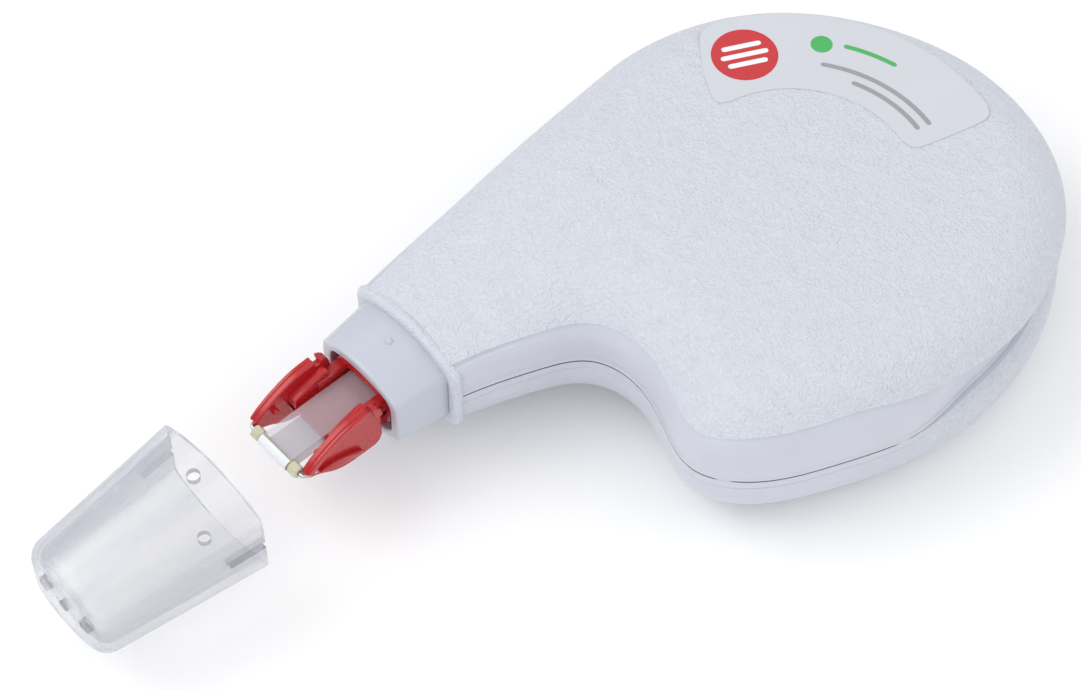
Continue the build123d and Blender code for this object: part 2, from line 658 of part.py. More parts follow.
with BuildPart() as carrier_loop:
    with Locations((station(LOOP_END / 2), NOSE_Y, MID_Z + LOOP_R + TAPE_T / 2)):
        Box(LOOP_END, TAPE_WIDTH, TAPE_T)
carrier_loop.part.label = "carrier_loop"
export_step(carrier_loop.part, "parts/carrier_loop.step")

# ---- runs between the reels and the neck ----
upper_reach = UPPER_GUIDE_R + RUN_GAP
lower_reach = LOWER_GUIDE_R + RUN_GAP


def straight_run(start, end):
    """Thin upright strip of tape between two points."""
    length = math.dist(start, end)
    heading = math.degrees(math.atan2(end[1] - start[1], end[0] - start[0]))
    middle = ((start[0] + end[0]) / 2, (start[1] + end[1]) / 2, MID_Z)
    return Pos(*middle) * Rot(0, 0, heading) * Box(length, TAPE_T, TAPE_WIDTH)


def guide_bend(centre, reach, start_angle, end_angle):
    """Stretch of tape that bends round a guide."""
    with BuildPart() as bend:
        with BuildSketch(Plane.XY.offset(TAPE_Z)):
            with BuildLine():
                CenterArc(centre, reach, start_angle, end_angle - start_angle)
            trace(line_width=TAPE_T)
        extrude(amount=TAPE_WIDTH)
    return bend.part


tape_start, tape_end = tangent_run(SUPPLY, TAPE_PACK_R + RUN_GAP, UPPER_GUIDE, upper_reach)
carrier_start, carrier_end = tangent_run(LOWER_GUIDE, -lower_reach, TAKEUP, CARRIER_PACK_R + RUN_GAP)


def angle_about(centre, point):
    return math.degrees(math.atan2(point[1] - centre[1], point[0] - centre[0]))


tape_stretches = [
    straight_run(tape_start, tape_end),
    guide_bend(UPPER_GUIDE, upper_reach, angle_about(UPPER_GUIDE, tape_end), 90),
    twisted_run(1),
]
with BuildPart() as tape_run:
    add(tape_stretches)
tape_run.part.label = "tape_run"
export_step(tape_run.part, "parts/tape_run.step")

carrier_stretches = [
    straight_run(carrier_start, carrier_end),
    guide_bend(LOWER_GUIDE, lower_reach, angle_about(LOWER_GUIDE, carrier_start), 90),
    twisted_run(-1),
]
with BuildPart() as carrier_run:
    add(carrier_stretches)
carrier_run.part.label = "carrier_run"
export_step(carrier_run.part, "parts/carrier_run.step")

# ---- tape guides: a small roller on a steel pin for each run ----
guides = (
    ("upper_guide", UPPER_GUIDE, UPPER_GUIDE_R, UPPER_PIN_R),
    ("lower_guide", LOWER_GUIDE, LOWER_GUIDE_R, LOWER_PIN_R),
)
for name, place, roller_r, pin_r in guides:
    with BuildPart() as guide_roller:
        with BuildSketch(Plane.XY.offset(MID_Z)):
            with Locations(place):
                Circle(roller_r)
                Circle(pin_r + RUNNING, mode=Mode.SUBTRACT)
        extrude(amount=GUIDE_HALF, both=True)
    guide_roller.part.label = name + "_roller"
    export_step(guide_roller.part, f"parts/{name}_roller.step")
    with BuildPart() as guide_pin:
        with BuildSketch(Plane.XY.offset(MID_Z)):
            with Locations(place):
                Circle(pin_r)
        extrude(amount=GUIDE_HALF + PIN_SEAT, both=True)
    guide_pin.part.label = name + "_pin"
    export_step(guide_pin.part, f"parts/{name}_pin.step")

# ---- drive gear with the sleeve that carries the supply reel ----
idler_phase = 0.0
drive_phase = meshing_phase(SUPPLY, DRIVE_TEETH, IDLER, IDLER_TEETH, idler_phase)
takeup_phase = meshing_phase(TAKEUP, TAKEUP_TEETH, IDLER, IDLER_TEETH, idler_phase)


def at_height(place, z):
    return Plane(origin=(place[0], place[1], z))


with BuildPart() as supply_gear:
    with BuildSketch(at_height(SUPPLY, GEAR_Z)):
        add(gear_face(DRIVE_TEETH, drive_phase))
    extrude(amount=GEAR_T)
    with BuildSketch(at_height(SUPPLY, GEAR_Z)):
        Circle(SLEEVE_R)
    extrude(amount=REEL_TOP - GEAR_Z)
    with BuildSketch(at_height(SUPPLY, GEAR_Z)):
        Circle(SUPPLY_POST_R + RUNNING)
    extrude(amount=REEL_TOP - GEAR_Z, mode=Mode.SUBTRACT)
    with BuildSketch(at_height(SUPPLY, GEAR_Z + GEAR_T / 2)):
        Circle(pitch_radius(DRIVE_TEETH) - GEAR_RIM)
        Circle(SPRING_R + SPRING_ROOM, mode=Mode.SUBTRACT)
    extrude(amount=GEAR_T / 2, mode=Mode.SUBTRACT)
supply_gear.part.label = "supply_gear"
export_step(supply_gear.part, "parts/supply_gear.step")

# ---- slip clutch: a dished spring presses a friction disc against the supply reel ----
DISC_Z = REEL_BOTTOM - RUNNING - DISC_T
with BuildPart() as clutch_spring:
    with BuildSketch(Plane(origin=(SUPPLY[0], SUPPLY[1], 0), x_dir=(1, 0, 0), z_dir=(0, -1, 0))):
        with BuildLine():
            Polyline(
                (SLEEVE_R + SEAT, DISC_Z - SPRING_T), (SPRING_R, GEAR_Z + GEAR_T),
                (SPRING_R, GEAR_Z + GEAR_T + SPRING_T), (SLEEVE_R + SEAT, DISC_Z), close=True,
            )
        make_face()
    revolve(axis=Axis((SUPPLY[0], SUPPLY[1], 0), (0, 0, 1)))
clutch_spring.part.label = "clutch_spring"
export_step(clutch_spring.part, "parts/clutch_spring.step")

with BuildPart() as clutch_disc:
    with BuildSketch(at_height(SUPPLY, DISC_Z + RUNNING)):
        Circle(SPRING_R)
        Circle(SLEEVE_R + SEAT, mode=Mode.SUBTRACT)
    extrude(amount=DISC_T)
clutch_disc.part.label = "clutch_disc"
export_step(clutch_disc.part, "parts/clutch_disc.step")

# ---- reels ----
with BuildPart() as supply_reel:
    with BuildSketch(at_height(SUPPLY, REEL_BOTTOM)):
        Circle(SUPPLY_HUB_R)
    extrude(amount=REEL_TOP - REEL_BOTTOM)
    for height in (REEL_BOTTOM, REEL_TOP - FLANGE_T):
        with BuildSketch(at_height(SUPPLY, height)):
            Circle(SUPPLY_FLANGE_R)
        extrude(amount=FLANGE_T)
    with BuildSketch(at_height(SUPPLY, REEL_BOTTOM)):
        Circle(SLEEVE_R + RUNNING)
    extrude(amount=REEL_TOP - REEL_BOTTOM, mode=Mode.SUBTRACT)
    with BuildSketch(at_height(SUPPLY, REEL_TOP - FLANGE_T)):
        with PolarLocations((SUPPLY_HUB_R + TAPE_PACK_R) / 2, REEL_WINDOWS):
            SlotOverall(*REEL_WINDOW, rotation=90)
    extrude(amount=FLANGE_T, mode=Mode.SUBTRACT)
supply_reel.part.label = "supply_reel"
export_step(supply_reel.part, "parts/supply_reel.step")

with BuildPart() as tape_pack:
    with BuildSketch(at_height(SUPPLY, TAPE_Z)):
        Circle(TAPE_PACK_R)
        Circle(SUPPLY_HUB_R + TOUCH, mode=Mode.SUBTRACT)
    extrude(amount=TAPE_WIDTH)
tape_pack.part.label = "tape_pack"
export_step(tape_pack.part, "parts/tape_pack.step")

with BuildPart() as takeup_reel:
    with BuildSketch(at_height(TAKEUP, GEAR_Z)):
        add(gear_face(TAKEUP_TEETH, takeup_phase))
    extrude(amount=GEAR_T)
    with BuildSketch(at_height(TAKEUP, GEAR_Z + GEAR_T)):
        Circle(TAKEUP_POST_R + HUB_WALL)
    extrude(amount=REEL_BOTTOM - GEAR_Z - GEAR_T)
    with BuildSketch(at_height(TAKEUP, REEL_BOTTOM)):
        Circle(TAKEUP_HUB_R)
    extrude(amount=REEL_TOP - REEL_BOTTOM)
    for height in (REEL_BOTTOM, REEL_TOP - FLANGE_T):
        with BuildSketch(at_height(TAKEUP, height)):
            Circle(TAKEUP_FLANGE_R)
        extrude(amount=FLANGE_T)
    with BuildSketch(at_height(TAKEUP, GEAR_Z)):
        Circle(TAKEUP_POST_R + RUNNING)
    extrude(amount=REEL_TOP - GEAR_Z, mode=Mode.SUBTRACT)
takeup_reel.part.label = "takeup_reel"
export_step(takeup_reel.part, "parts/takeup_reel.step")

with BuildPart() as carrier_pack:
    with BuildSketch(at_height(TAKEUP, TAPE_Z)):
        Circle(CARRIER_PACK_R)
        Circle(TAKEUP_HUB_R + TOUCH, mode=Mode.SUBTRACT)
    extrude(amount=TAPE_WIDTH)
carrier_pack.part.label = "carrier_pack"
export_step(carrier_pack.part, "parts/carrier_pack.step")

with BuildPart() as idler_gear:
    with BuildSketch(at_height(IDLER, GEAR_Z)):
        add(gear_face(IDLER_TEETH, idler_phase))
        Circle(IDLER_POST_R + RUNNING, mode=Mode.SUBTRACT)
    extrude(amount=GEAR_T)
idler_gear.part.label = "idler_gear"
export_step(idler_gear.part, "parts/idler_gear.step")

# ---- label on the upper face ----
label_turns = [LABEL_ANGLES[0], sum(LABEL_ANGLES) / 2, LABEL_ANGLES[1]]
label_wedge = [polar_point(PAST, turn) for turn in label_turns]
with BuildPart() as label:
    with BuildSketch(Plane.XY.offset(THICKNESS)) as label_face:
        Circle(LABEL_OUTER_R)
        Circle(LABEL_INNER_R, mode=Mode.SUBTRACT)
        with BuildLine():
            Polyline((0, 0), *label_wedge, close=True)
        make_face(mode=Mode.INTERSECT)
        fillet(label_face.vertices(), LABEL_CORNER)
    extrude(amount=LABEL_T)
label.part.label = "label"
export_step(label.part, "parts/label.step")
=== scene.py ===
import json
import math

import bmesh
import bpy
import numpy as np
from mathutils import Matrix, Vector


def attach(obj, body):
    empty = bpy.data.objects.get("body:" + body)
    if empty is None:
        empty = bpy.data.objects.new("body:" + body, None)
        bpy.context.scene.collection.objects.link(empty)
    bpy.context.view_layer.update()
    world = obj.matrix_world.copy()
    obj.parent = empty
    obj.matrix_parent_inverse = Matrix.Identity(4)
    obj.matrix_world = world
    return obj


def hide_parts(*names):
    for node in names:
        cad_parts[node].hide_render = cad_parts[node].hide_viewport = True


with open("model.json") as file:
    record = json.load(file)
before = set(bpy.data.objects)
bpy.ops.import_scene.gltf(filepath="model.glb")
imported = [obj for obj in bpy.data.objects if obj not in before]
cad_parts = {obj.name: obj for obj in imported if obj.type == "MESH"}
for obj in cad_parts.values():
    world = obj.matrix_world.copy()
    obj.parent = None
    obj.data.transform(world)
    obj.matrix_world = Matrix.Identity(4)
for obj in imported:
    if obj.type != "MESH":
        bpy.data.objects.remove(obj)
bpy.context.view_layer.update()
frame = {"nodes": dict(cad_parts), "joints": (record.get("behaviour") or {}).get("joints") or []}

# Correction tape roller. Lengths here are millimetres, in the frame's own axes, and become
# metres when a mesh is made. Heights marked "rel" are measured from the seam.
MM = 0.001
MID_Z = 11.5  # height of the seam and of the nose axis
NOSE_Y = 18.0  # the nose axis runs along X here
TIP_X = -65.0  # the tip roller turns about Y here
TAIL_R = 31.0
BODY_FRONT_X = -45.0
NECK_HALF = 8.4


def joint_place(name):
    """Where a joint's upright axis stands, in plan."""
    joint = next(j for j in frame["joints"] if j["name"] == name)
    return joint["pos_m"][0] / MM, joint["pos_m"][1] / MM


SUPPLY = joint_place("drive_spin")
TAKEUP = joint_place("takeup_spin")
IDLER = joint_place("idler_spin")


# ---------------------------------------------------------------- small maths
def smoothstep(low, high, value):
    share = np.clip((np.asarray(value, float) - low) / (high - low), 0, 1)
    return share * share * (3 - 2 * share)


def unit(vector):
    vector = np.asarray(vector, float)
    return vector / np.linalg.norm(vector)


def smooth_curve(points, first=None, last=None, per_span=60):
    """Curve with continuous curvature through the points, sampled densely."""
    points = np.asarray(points, float)
    steps = np.linalg.norm(np.diff(points, axis=0), axis=1)
    count = len(points)
    rows = np.zeros((count, count))
    values = np.zeros((count, points.shape[1]))
    for i in range(1, count - 1):
        before, after = steps[i - 1], steps[i]
        rows[i, i - 1] = after
        rows[i, i] = 2 * (before + after)
        rows[i, i + 1] = before
        slope_before = (points[i] - points[i - 1]) / before
        slope_after = (points[i + 1] - points[i]) / after
        values[i] = 3 * (after * slope_before + before * slope_after)
    for i, tangent, neighbour in ((0, first, 1), (count - 1, last, count - 2)):
        rows[i, i] = 1
        if tangent is None:
            rows[i, neighbour] = 0.5
            span = steps[0] if i == 0 else steps[-1]
            values[i] = 1.5 * (points[max(i, neighbour)] - points[min(i, neighbour)]) / span
        else:
            values[i] = unit(tangent)
    slopes = np.linalg.solve(rows, values)
    out = []
    for i, step in enumerate(steps):
        for share in np.linspace(0, 1, per_span, endpoint=False):
            a = 1 - 3 * share ** 2 + 2 * share ** 3
            b = share - 2 * share ** 2 + share ** 3
            c = 3 * share ** 2 - 2 * share ** 3
            d = share ** 3 - share ** 2
            out.append(a * points[i] + b * step * slopes[i] + c * points[i + 1] + d * step * slopes[i + 1])
    out.append(points[-1])
    return np.array(out)


def lengths_along(line):
    """Length of the line from its start to each of its points."""
    return np.concatenate([[0], np.cumsum(np.linalg.norm(np.diff(line, axis=0), axis=1))])


def resampled(line, count):
    """The line at evenly spaced places along its length."""
    lengths = lengths_along(line)
    wanted = np.linspace(0, lengths[-1], count)
    return np.stack([np.interp(wanted, lengths, line[:, k]) for k in range(line.shape[1])], 1)


def headings(line):
    """Unit direction of the line at each of its points."""
    step = np.gradient(line, axis=0)
    return step / np.linalg.norm(step, axis=1)[:, None]


def right_of(heading):
    """Each direction turned a quarter to the right."""
    return np.stack([heading[:, 1], -heading[:, 0]], 1)


def circle(centre, radius, count=36):
    return [
        (centre[0] + radius * math.cos(t), centre[1] + radius * math.sin(t))
        for t in np.linspace(0, 2 * math.pi, count, endpoint=False)
    ]


def soft_rectangle(centre, half_a, half_b, corner, per_corner=6):
    points = []
    for quadrant, (sa, sb) in enumerate(((1, 1), (-1, 1), (-1, -1), (1, -1))):
        for t in np.linspace(0, math.pi / 2, per_corner):
            angle = t + quadrant * math.pi / 2
            points.append((
                centre[0] + sa * (half_a - corner) + corner * math.cos(angle),
                centre[1] + sb * (half_b - corner) + corner * math.sin(angle),
            ))
    return points


# ---------------------------------------------------------------- mesh helpers
class Form:
    """Points and faces of one piece, gathered in millimetres."""

    def __init__(self):
        self.points = []
        self.faces = []
        self.slots = []

    def add(self, points):
        start = len(self.points)
        self.points.extend([tuple(float(v) for v in p) for p in points])
        return list(range(start, start + len(points)))

    def face(self, indices, slot=0):
        self.faces.append(tuple(indices))
        self.slots.append(slot)

    def loft(self, rings, slot=0, closed=True, start_cap=False, end_cap=False):
        """Skin over rings of the same count. slot may be a function of band and column."""
        indices = [self.add(ring) for ring in rings]
        count = len(rings[0])
        spans = count if closed else count - 1
        for band in range(len(rings) - 1):
            for k in range(spans):
                n = (k + 1) % count
                quad = (indices[band][k], indices[band][n], indices[band + 1][n], indices[band + 1][k])
                self.face(quad, slot(band, k) if callable(slot) else slot)
        if start_cap:
            self.face(indices[0][::-1], 0 if callable(slot) else slot)
        if end_cap:
            self.face(indices[-1], 0 if callable(slot) else slot)
        return indices


def mesh_of(name, form, materials, weld):
    """Mesh in metres from a gathered form, welded, with its normals outwards."""
    mesh = bpy.data.meshes.new(name)
    mesh.from_pydata([tuple(v * MM for v in p) for p in form.points], [], form.faces)
    for material in materials:
        mesh.materials.append(material)
    mesh.polygons.foreach_set("material_index", form.slots)
    work = bmesh.new()
    work.from_mesh(mesh)
    bmesh.ops.remove_doubles(work, verts=work.verts, dist=weld)
    bmesh.ops.recalc_face_normals(work, faces=work.faces)
    work.to_mesh(mesh)
    work.free()
    return mesh


def in_scene(name, data):
    """Object of a mesh, curve, light or camera."""
    thing = bpy.data.objects.new(name, data)
    bpy.context.scene.collection.objects.link(thing)
    return thing


def build(name, body, form, materials, replaces=(), sharp=32, weld=2e-6):
    """Object in metres from a gathered form, riding on its body."""
    mesh = mesh_of(name, form, materials, weld)
    mesh.polygons.foreach_set("use_smooth", [True] * len(mesh.polygons))
    mesh.set_sharp_from_angle(angle=math.radians(sharp))
    thing = in_scene(name, mesh)
    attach(thing, body)
    if replaces:
        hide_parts(*replaces)
    return thing


def crowned(half_width, side, crown, corner, counts):
    """Closed loop of (y, z) points: flat sides, arched top and bottom, rounded corners. counts
    says how many steps go across, round each corner and up each side."""
    across, around, upright = counts
    sagitta = crown - side
    radius = (half_width ** 2 + sagitta ** 2) / (2 * sagitta)

    def arc(y):
        return crown - radius + math.sqrt(radius ** 2 - y ** 2)

    reach = half_width - corner
    tip = np.array([half_width, side])
    before = np.array([reach, arc(reach)])
    after = np.array([half_width, side - corner])
    quarter = []
    for y in np.linspace(0, reach, across // 2 + 1)[:-1]:
        quarter.append((y, arc(y)))
    for share in np.linspace(0, 1, around + 1):
        quarter.append(tuple((1 - share) ** 2 * before + 2 * share * (1 - share) * tip + share ** 2 * after))
    for z in np.linspace(side - corner, 0, upright // 2 + 1)[1:]:
        quarter.append((half_width, z))
    quarter = np.array(quarter)
    lower_right = quarter[::-1][1:] * (1, -1)
    right = np.concatenate([quarter, lower_right])
    left = (right[::-1] * (-1, 1))[1:-1]
    return np.concatenate([right, left])


def nose_ring(x, section):
    """A section placed across the nose axis at x."""
    return np.stack([np.full(len(section), float(x)), NOSE_Y + section[:, 0], MID_Z + section[:, 1]], 1)


def crowned_ring(x, size, corner, counts):
    """Crowned section across the nose axis at x. size is half width, side and crown."""
    return nose_ring(x, crowned(*size, corner, counts))


# ---------------------------------------------------------------- materials
class Look:
    """A material being made: its shader, and the nodes that feed it."""

    def __init__(self, name):
        self.material = bpy.data.materials.new(name)
        self.material.use_nodes = True
        self.tree = self.material.node_tree
        self.shader = self.tree.nodes["Principled BSDF"]
        self.own_place = self.node("ShaderNodeTexCoord").outputs["Object"]

    def feed(self, node, sockets):
        """Gives each socket another node's output, or a value of its own."""
        for socket, value in sockets.items():
            if isinstance(value, bpy.types.NodeSocket):
                self.tree.links.new(value, node.inputs[socket])
            else:
                node.inputs[socket].default_value = value

    def node(self, kind, sockets=None):
        made = self.tree.nodes.new(kind)
        self.feed(made, sockets or {})
        return made

    def surface(self, sockets):
        self.feed(self.shader, sockets)

    def mapped(self, shift=(0, 0, 0), turn=(0, 0, 0), scale=(1, 1, 1)):
        """The piece's own coordinates, shifted, turned or stretched."""
        sockets = {"Vector": self.own_place, "Location": shift, "Rotation": turn, "Scale": scale}
        return self.node("ShaderNodeMapping", sockets).outputs["Vector"]

    def noise(self, scale, detail=2.0, roughness=0.5, place=None):
        place = self.own_place if place is None else place
        sockets = {"Vector": place, "Scale": scale, "Detail": detail, "Roughness": roughness}
        return self.node("ShaderNodeTexNoise", sockets)

    def spread(self, value, low, high, start=0.0, end=1.0):
        """A value from start to end, carried to low to high."""
        sockets = {"Value": value, "From Min": start, "From Max": end, "To Min": low, "To Max": high}
        return self.node("ShaderNodeMapRange", sockets).outputs["Result"]

    def ramp(self, source, stops):
        """Colour that goes through the stops as the source rises."""
        node = self.node("ShaderNodeValToRGB", {"Fac": source})
        elements = node.color_ramp.elements
        elements[0].position, elements[0].color = stops[0][0], (*stops[0][1], 1)
        elements[1].position, elements[1].color = stops[-1][0], (*stops[-1][1], 1)
        for position, colour in stops[1:-1]:
            elements.new(position).color = (*colour, 1)
        return node.outputs["Color"]

    def tint(self, source, colour, share, low=0.3, high=0.7):
        """Surface colour, from a share of the colour where the source is low to all of it."""
        self.surface({"Base Color": self.ramp(source, [(low, scaled(colour, share)), (high, colour)])})

    def relief(self, height, strength, distance):
        """Fine relief of the surface. The distance is in millimetres."""
        sockets = {"Strength": strength, "Distance": distance * MM, "Height": height}
        self.surface({"Normal": self.node("ShaderNodeBump", sockets).outputs["Normal"]})

    def glow(self, weight):
        """Light that goes a little way into the plastic."""
        depth = (0.0012, 0.0012, 0.0014)
        self.surface({"Subsurface Weight": weight, "Subsurface Radius": depth, "Subsurface Scale": 1.0})


def scaled(colour, share):
    return tuple(min(c * share, 1) for c in colour)


def moulded(name, colour, roughness, mottle=0.02, wave=900.0, bump=0.015, coat=0.0, subsurface=0.0):
    """Moulded plastic: slight colour drift, faint flow marks and fine surface waviness."""
    look = Look(name)
    drift = look.noise(120.0, 3.0).outputs["Fac"]
    stops = [(0.35, scaled(colour, 1 - mottle)), (0.65, scaled(colour, 1 + mottle))]
    fine = look.noise(wave).outputs["Fac"]
    gloss = look.spread(fine, roughness * 0.85, roughness * 1.15)
    look.surface({"Base Color": look.ramp(drift, stops), "Roughness": gloss, "Coat Weight": coat})
    look.relief(fine, 0.35, bump)
    if subsurface:
        look.glow(subsurface)
    return look.material


def grained(name, colour):
    """Leather-like moulded grain: stretched pebbles with fine pores between them."""
    look = Look(name)
    stretched = look.mapped(turn=(0, 0, math.radians(38)), scale=(1.0, 0.74, 0.85))
    push = look.node("ShaderNodeVectorMath")
    push.operation = "MULTIPLY_ADD"
    warp = look.noise(420.0, place=stretched).outputs["Color"]
    look.feed(push, {0: warp, 1: (0.0009, 0.0009, 0.0009), 2: stretched})
    warped = push.outputs["Vector"]
    pebble = look.node("ShaderNodeTexVoronoi")
    pebble.feature = "SMOOTH_F1"
    look.feed(pebble, {"Vector": warped, "Scale": 3300.0, "Smoothness": 0.6})
    pores = look.noise(4200.0, place=warped)
    height = look.node("ShaderNodeMath")
    height.operation = "MULTIPLY_ADD"
    look.feed(height, {0: pebble.outputs["Distance"], 1: -1.0, 2: pores.outputs["Fac"]})
    grain = height.outputs["Value"]
    look.relief(grain, 1.0, 0.155)
    # The colour is darker in the low places between the pebbles: painted shade in the hollows of the grain.
    look.tint(grain, colour, 0.91, 0.0, 0.5)
    look.surface({"Roughness": look.spread(grain, 0.55, 0.40, end=0.6)})
    look.glow(0.08)
    return look.material


def clear(name, colour, roughness):
    """Clear film in a long strip, with faint waviness."""
    look = Look(name)
    ripple = look.noise(900.0).outputs["Fac"]
    look.tint(ripple, colour, 0.985)
    look.relief(ripple, 0.3, 0.004)
    look.surface({"Roughness": roughness, "IOR": 1.49, "Transmission Weight": 1.0})
    return look.material


def see_through(name, colour, roughness, stops, reflection_streaks=0.0):
    """Clear moulded plastic or film: nearly open face on, denser where it is seen along its wall.
    Bands of density along X, where asked for, are painted reflection bands."""
    look = Look(name)
    ripple = look.noise(260.0).outputs["Fac"]
    look.tint(ripple, colour, 0.97)
    look.relief(ripple, 0.3, 0.006)
    facing = look.node("ShaderNodeLayerWeight").outputs["Facing"]
    density = look.ramp(facing, [(at, (v, v, v)) for at, v in stops])
    # Noise stretched along X makes the painted reflection bands in the density.
    flow = look.noise(240.0, 1.5, place=look.mapped(scale=(0.12, 1.0, 1.0))).outputs["Fac"]
    whole = look.node("ShaderNodeMath")
    whole.operation = "MULTIPLY"
    whole.use_clamp = True
    look.feed(whole, {0: density, 1: look.spread(flow, 1 - reflection_streaks, 1 + reflection_streaks, 0.35, 0.65)})
    look.surface({"Alpha": whole.outputs["Value"], "Roughness": roughness, "IOR": 1.6})
    return look.material


def metal(name, colour, roughness):
    """Drawn or rolled metal with fine scratches along Y."""
    look = Look(name)
    scratch = look.noise(9000.0, place=look.mapped(scale=(1.0, 0.08, 1.0))).outputs["Fac"]
    look.tint(scratch, colour, 0.9)
    look.relief(scratch, 0.2, 0.004)
    look.surface({"Metallic": 1.0, "Roughness": roughness})
    return look.material


def wound(name, colour, centre, pitch, roughness):
    """Edge of a pack of wound film: fine rings about the reel's axis."""
    look = Look(name)
    rings = look.node("ShaderNodeTexWave")
    rings.wave_type = "RINGS"
    rings.rings_direction = "Z"
    place = look.mapped(shift=(-centre[0] * MM, -centre[1] * MM, 0))
    look.feed(rings, {"Vector": place, "Scale": 0.05 / (pitch * MM), "Distortion": 0.6})
    look.tint(rings.outputs["Fac"], colour, 0.86, 0.2, 0.8)
    look.relief(rings.outputs["Fac"], 0.4, 0.02)
    look.surface({"Roughness": roughness})
    return look.material


def felt(name, colour):
    look = Look(name)
    fibres = look.noise(5200.0, 6.0, 0.7).outputs["Fac"]
    look.tint(fibres, colour, 0.7)
    look.relief(fibres, 0.9, 0.06)
    look.surface({"Roughness": 0.95, "Sheen Weight": 0.4})
    return look.material


SHELL_GRAIN = grained("shell_grain", (0.690, 0.715, 0.785))
SHELL_SMOOTH = moulded(
    "shell_smooth", (0.585, 0.605, 0.675), 0.30, wave=500.0, bump=0.006, coat=0.1, subsurface=0.08,
)
# Dark grey for the faces in the parting gap and the shells' insides: painted shade, not a colour of the
# plastic.
SHELL_GAP_SHADE = moulded("shell_gap_painted_shade", (0.22, 0.23, 0.27), 0.6)
COLLAR = moulded(
    "collar_plastic", (0.530, 0.555, 0.630), 0.24, wave=500.0, bump=0.005, coat=0.15, subsurface=0.06,
)
HEAD_RED = moulded("head_plastic", (0.46, 0.009, 0.014), 0.28, mottle=0.05, bump=0.008, coat=0.15)
# The cap's bands of density along X are painted reflection bands.
CAP_CLEAR = see_through(
    "cap_clear", (0.54, 0.56, 0.62), 0.06,
    [(0.0, 0.12), (0.22, 0.14), (0.42, 0.24), (0.60, 0.42), (0.82, 0.60), (1.0, 0.80)], reflection_streaks=0.6,
)
# Dark, denser clear plastic on the walls of the cuts: painted shade for their dark rims.
CAP_CUT_SHADE = see_through("cap_cut_painted_shade", (0.16, 0.17, 0.20), 0.10, [(0.0, 0.45), (0.6, 0.6), (1.0, 0.85)])
FILM = see_through("carrier_film", (0.62, 0.60, 0.66), 0.14, [(0.0, 0.30), (0.6, 0.36), (1.0, 0.7)])
TAPE_WHITE = moulded("tape_white", (0.80, 0.83, 0.87), 0.42, mottle=0.012, wave=1500.0, bump=0.01)
ROLLER_IVORY = moulded("roller_ends", (0.58, 0.57, 0.40), 0.38, mottle=0.05)
STEEL = metal("steel_wire", (0.62, 0.62, 0.60), 0.28)
LABEL_FACE = moulded("label_face", (0.60, 0.62, 0.67), 0.16, mottle=0.008, wave=300.0, bump=0.004, coat=0.4)
LABEL_RED = moulded("label_red", (0.55, 0.016, 0.022), 0.18, mottle=0.03, coat=0.4)
LABEL_WHITE = moulded("label_white", (0.86, 0.87, 0.88), 0.2, mottle=0.01, coat=0.4)
LABEL_GREEN = moulded("label_green", (0.05, 0.42, 0.10), 0.2, mottle=0.04, coat=0.4)
LABEL_GREY = moulded("label_grey", (0.30, 0.32, 0.34), 0.2, mottle=0.02, coat=0.4)
REEL = moulded("reel_plastic", (0.62, 0.66, 0.70), 0.4, mottle=0.02)
TAKEUP_BLUE = moulded("takeup_plastic", (0.20, 0.36, 0.58), 0.38, mottle=0.03)
GEAR = moulded("gear_acetal", (0.74, 0.73, 0.68), 0.42, mottle=0.02)
FELT = felt("clutch_felt", (0.16, 0.15, 0.15))
SUPPLY_WOUND = wound("tape_wound", (0.78, 0.80, 0.82), SUPPLY, 0.1, 0.5)
CARRIER_WOUND = wound("carrier_wound", (0.62, 0.58, 0.50), TAKEUP, 0.06, 0.3)
CARRIER_RUN = clear("carrier_strip", (0.90, 0.91, 0.92), 0.12)


# ---------------------------------------------------------------- body outline and heights
BACK_JOIN = math.radians(95)
HEEL_JOIN = math.radians(-98)
SIDE_COLUMNS = 120
TAIL_COLUMNS = 171
DENSE = 400


def tail_point(angle):
    """Point of the round tail, which is a little fuller towards the heel side."""
    reach = TAIL_R + 1.9 * math.exp(-((math.degrees(angle) + 30) / 36) ** 2)
    return np.array([reach * math.cos(angle), reach * math.sin(angle)])


back_line = smooth_curve(
    [(BODY_FRONT_X, NOSE_Y + NECK_HALF), (-24, 29), tail_point(BACK_JOIN)],
    first=(1, 0.16), last=(math.sin(BACK_JOIN), -math.cos(BACK_JOIN)),
)
belly_line = smooth_curve(
    [
        tail_point(HEEL_JOIN), (-19, -26.2), (-28, -21), (-31.2, -15.8), (-29.6, -9), (-28, -2),
        (-29.6, 3), (-35, 6.3), (BODY_FRONT_X, NOSE_Y - NECK_HALF),
    ],
    first=(math.sin(HEEL_JOIN), -math.cos(HEEL_JOIN)), last=(-1, 0.22),
)
tail_angles = np.linspace(BACK_JOIN, HEEL_JOIN, TAIL_COLUMNS)
tail_line = np.array([tail_point(a) for a in tail_angles])
spine_line = smooth_curve([(BODY_FRONT_X, NOSE_Y), (-33, 17.2), (-20, 10.5), (-9, 4), (0, 0)], first=(1, 0))

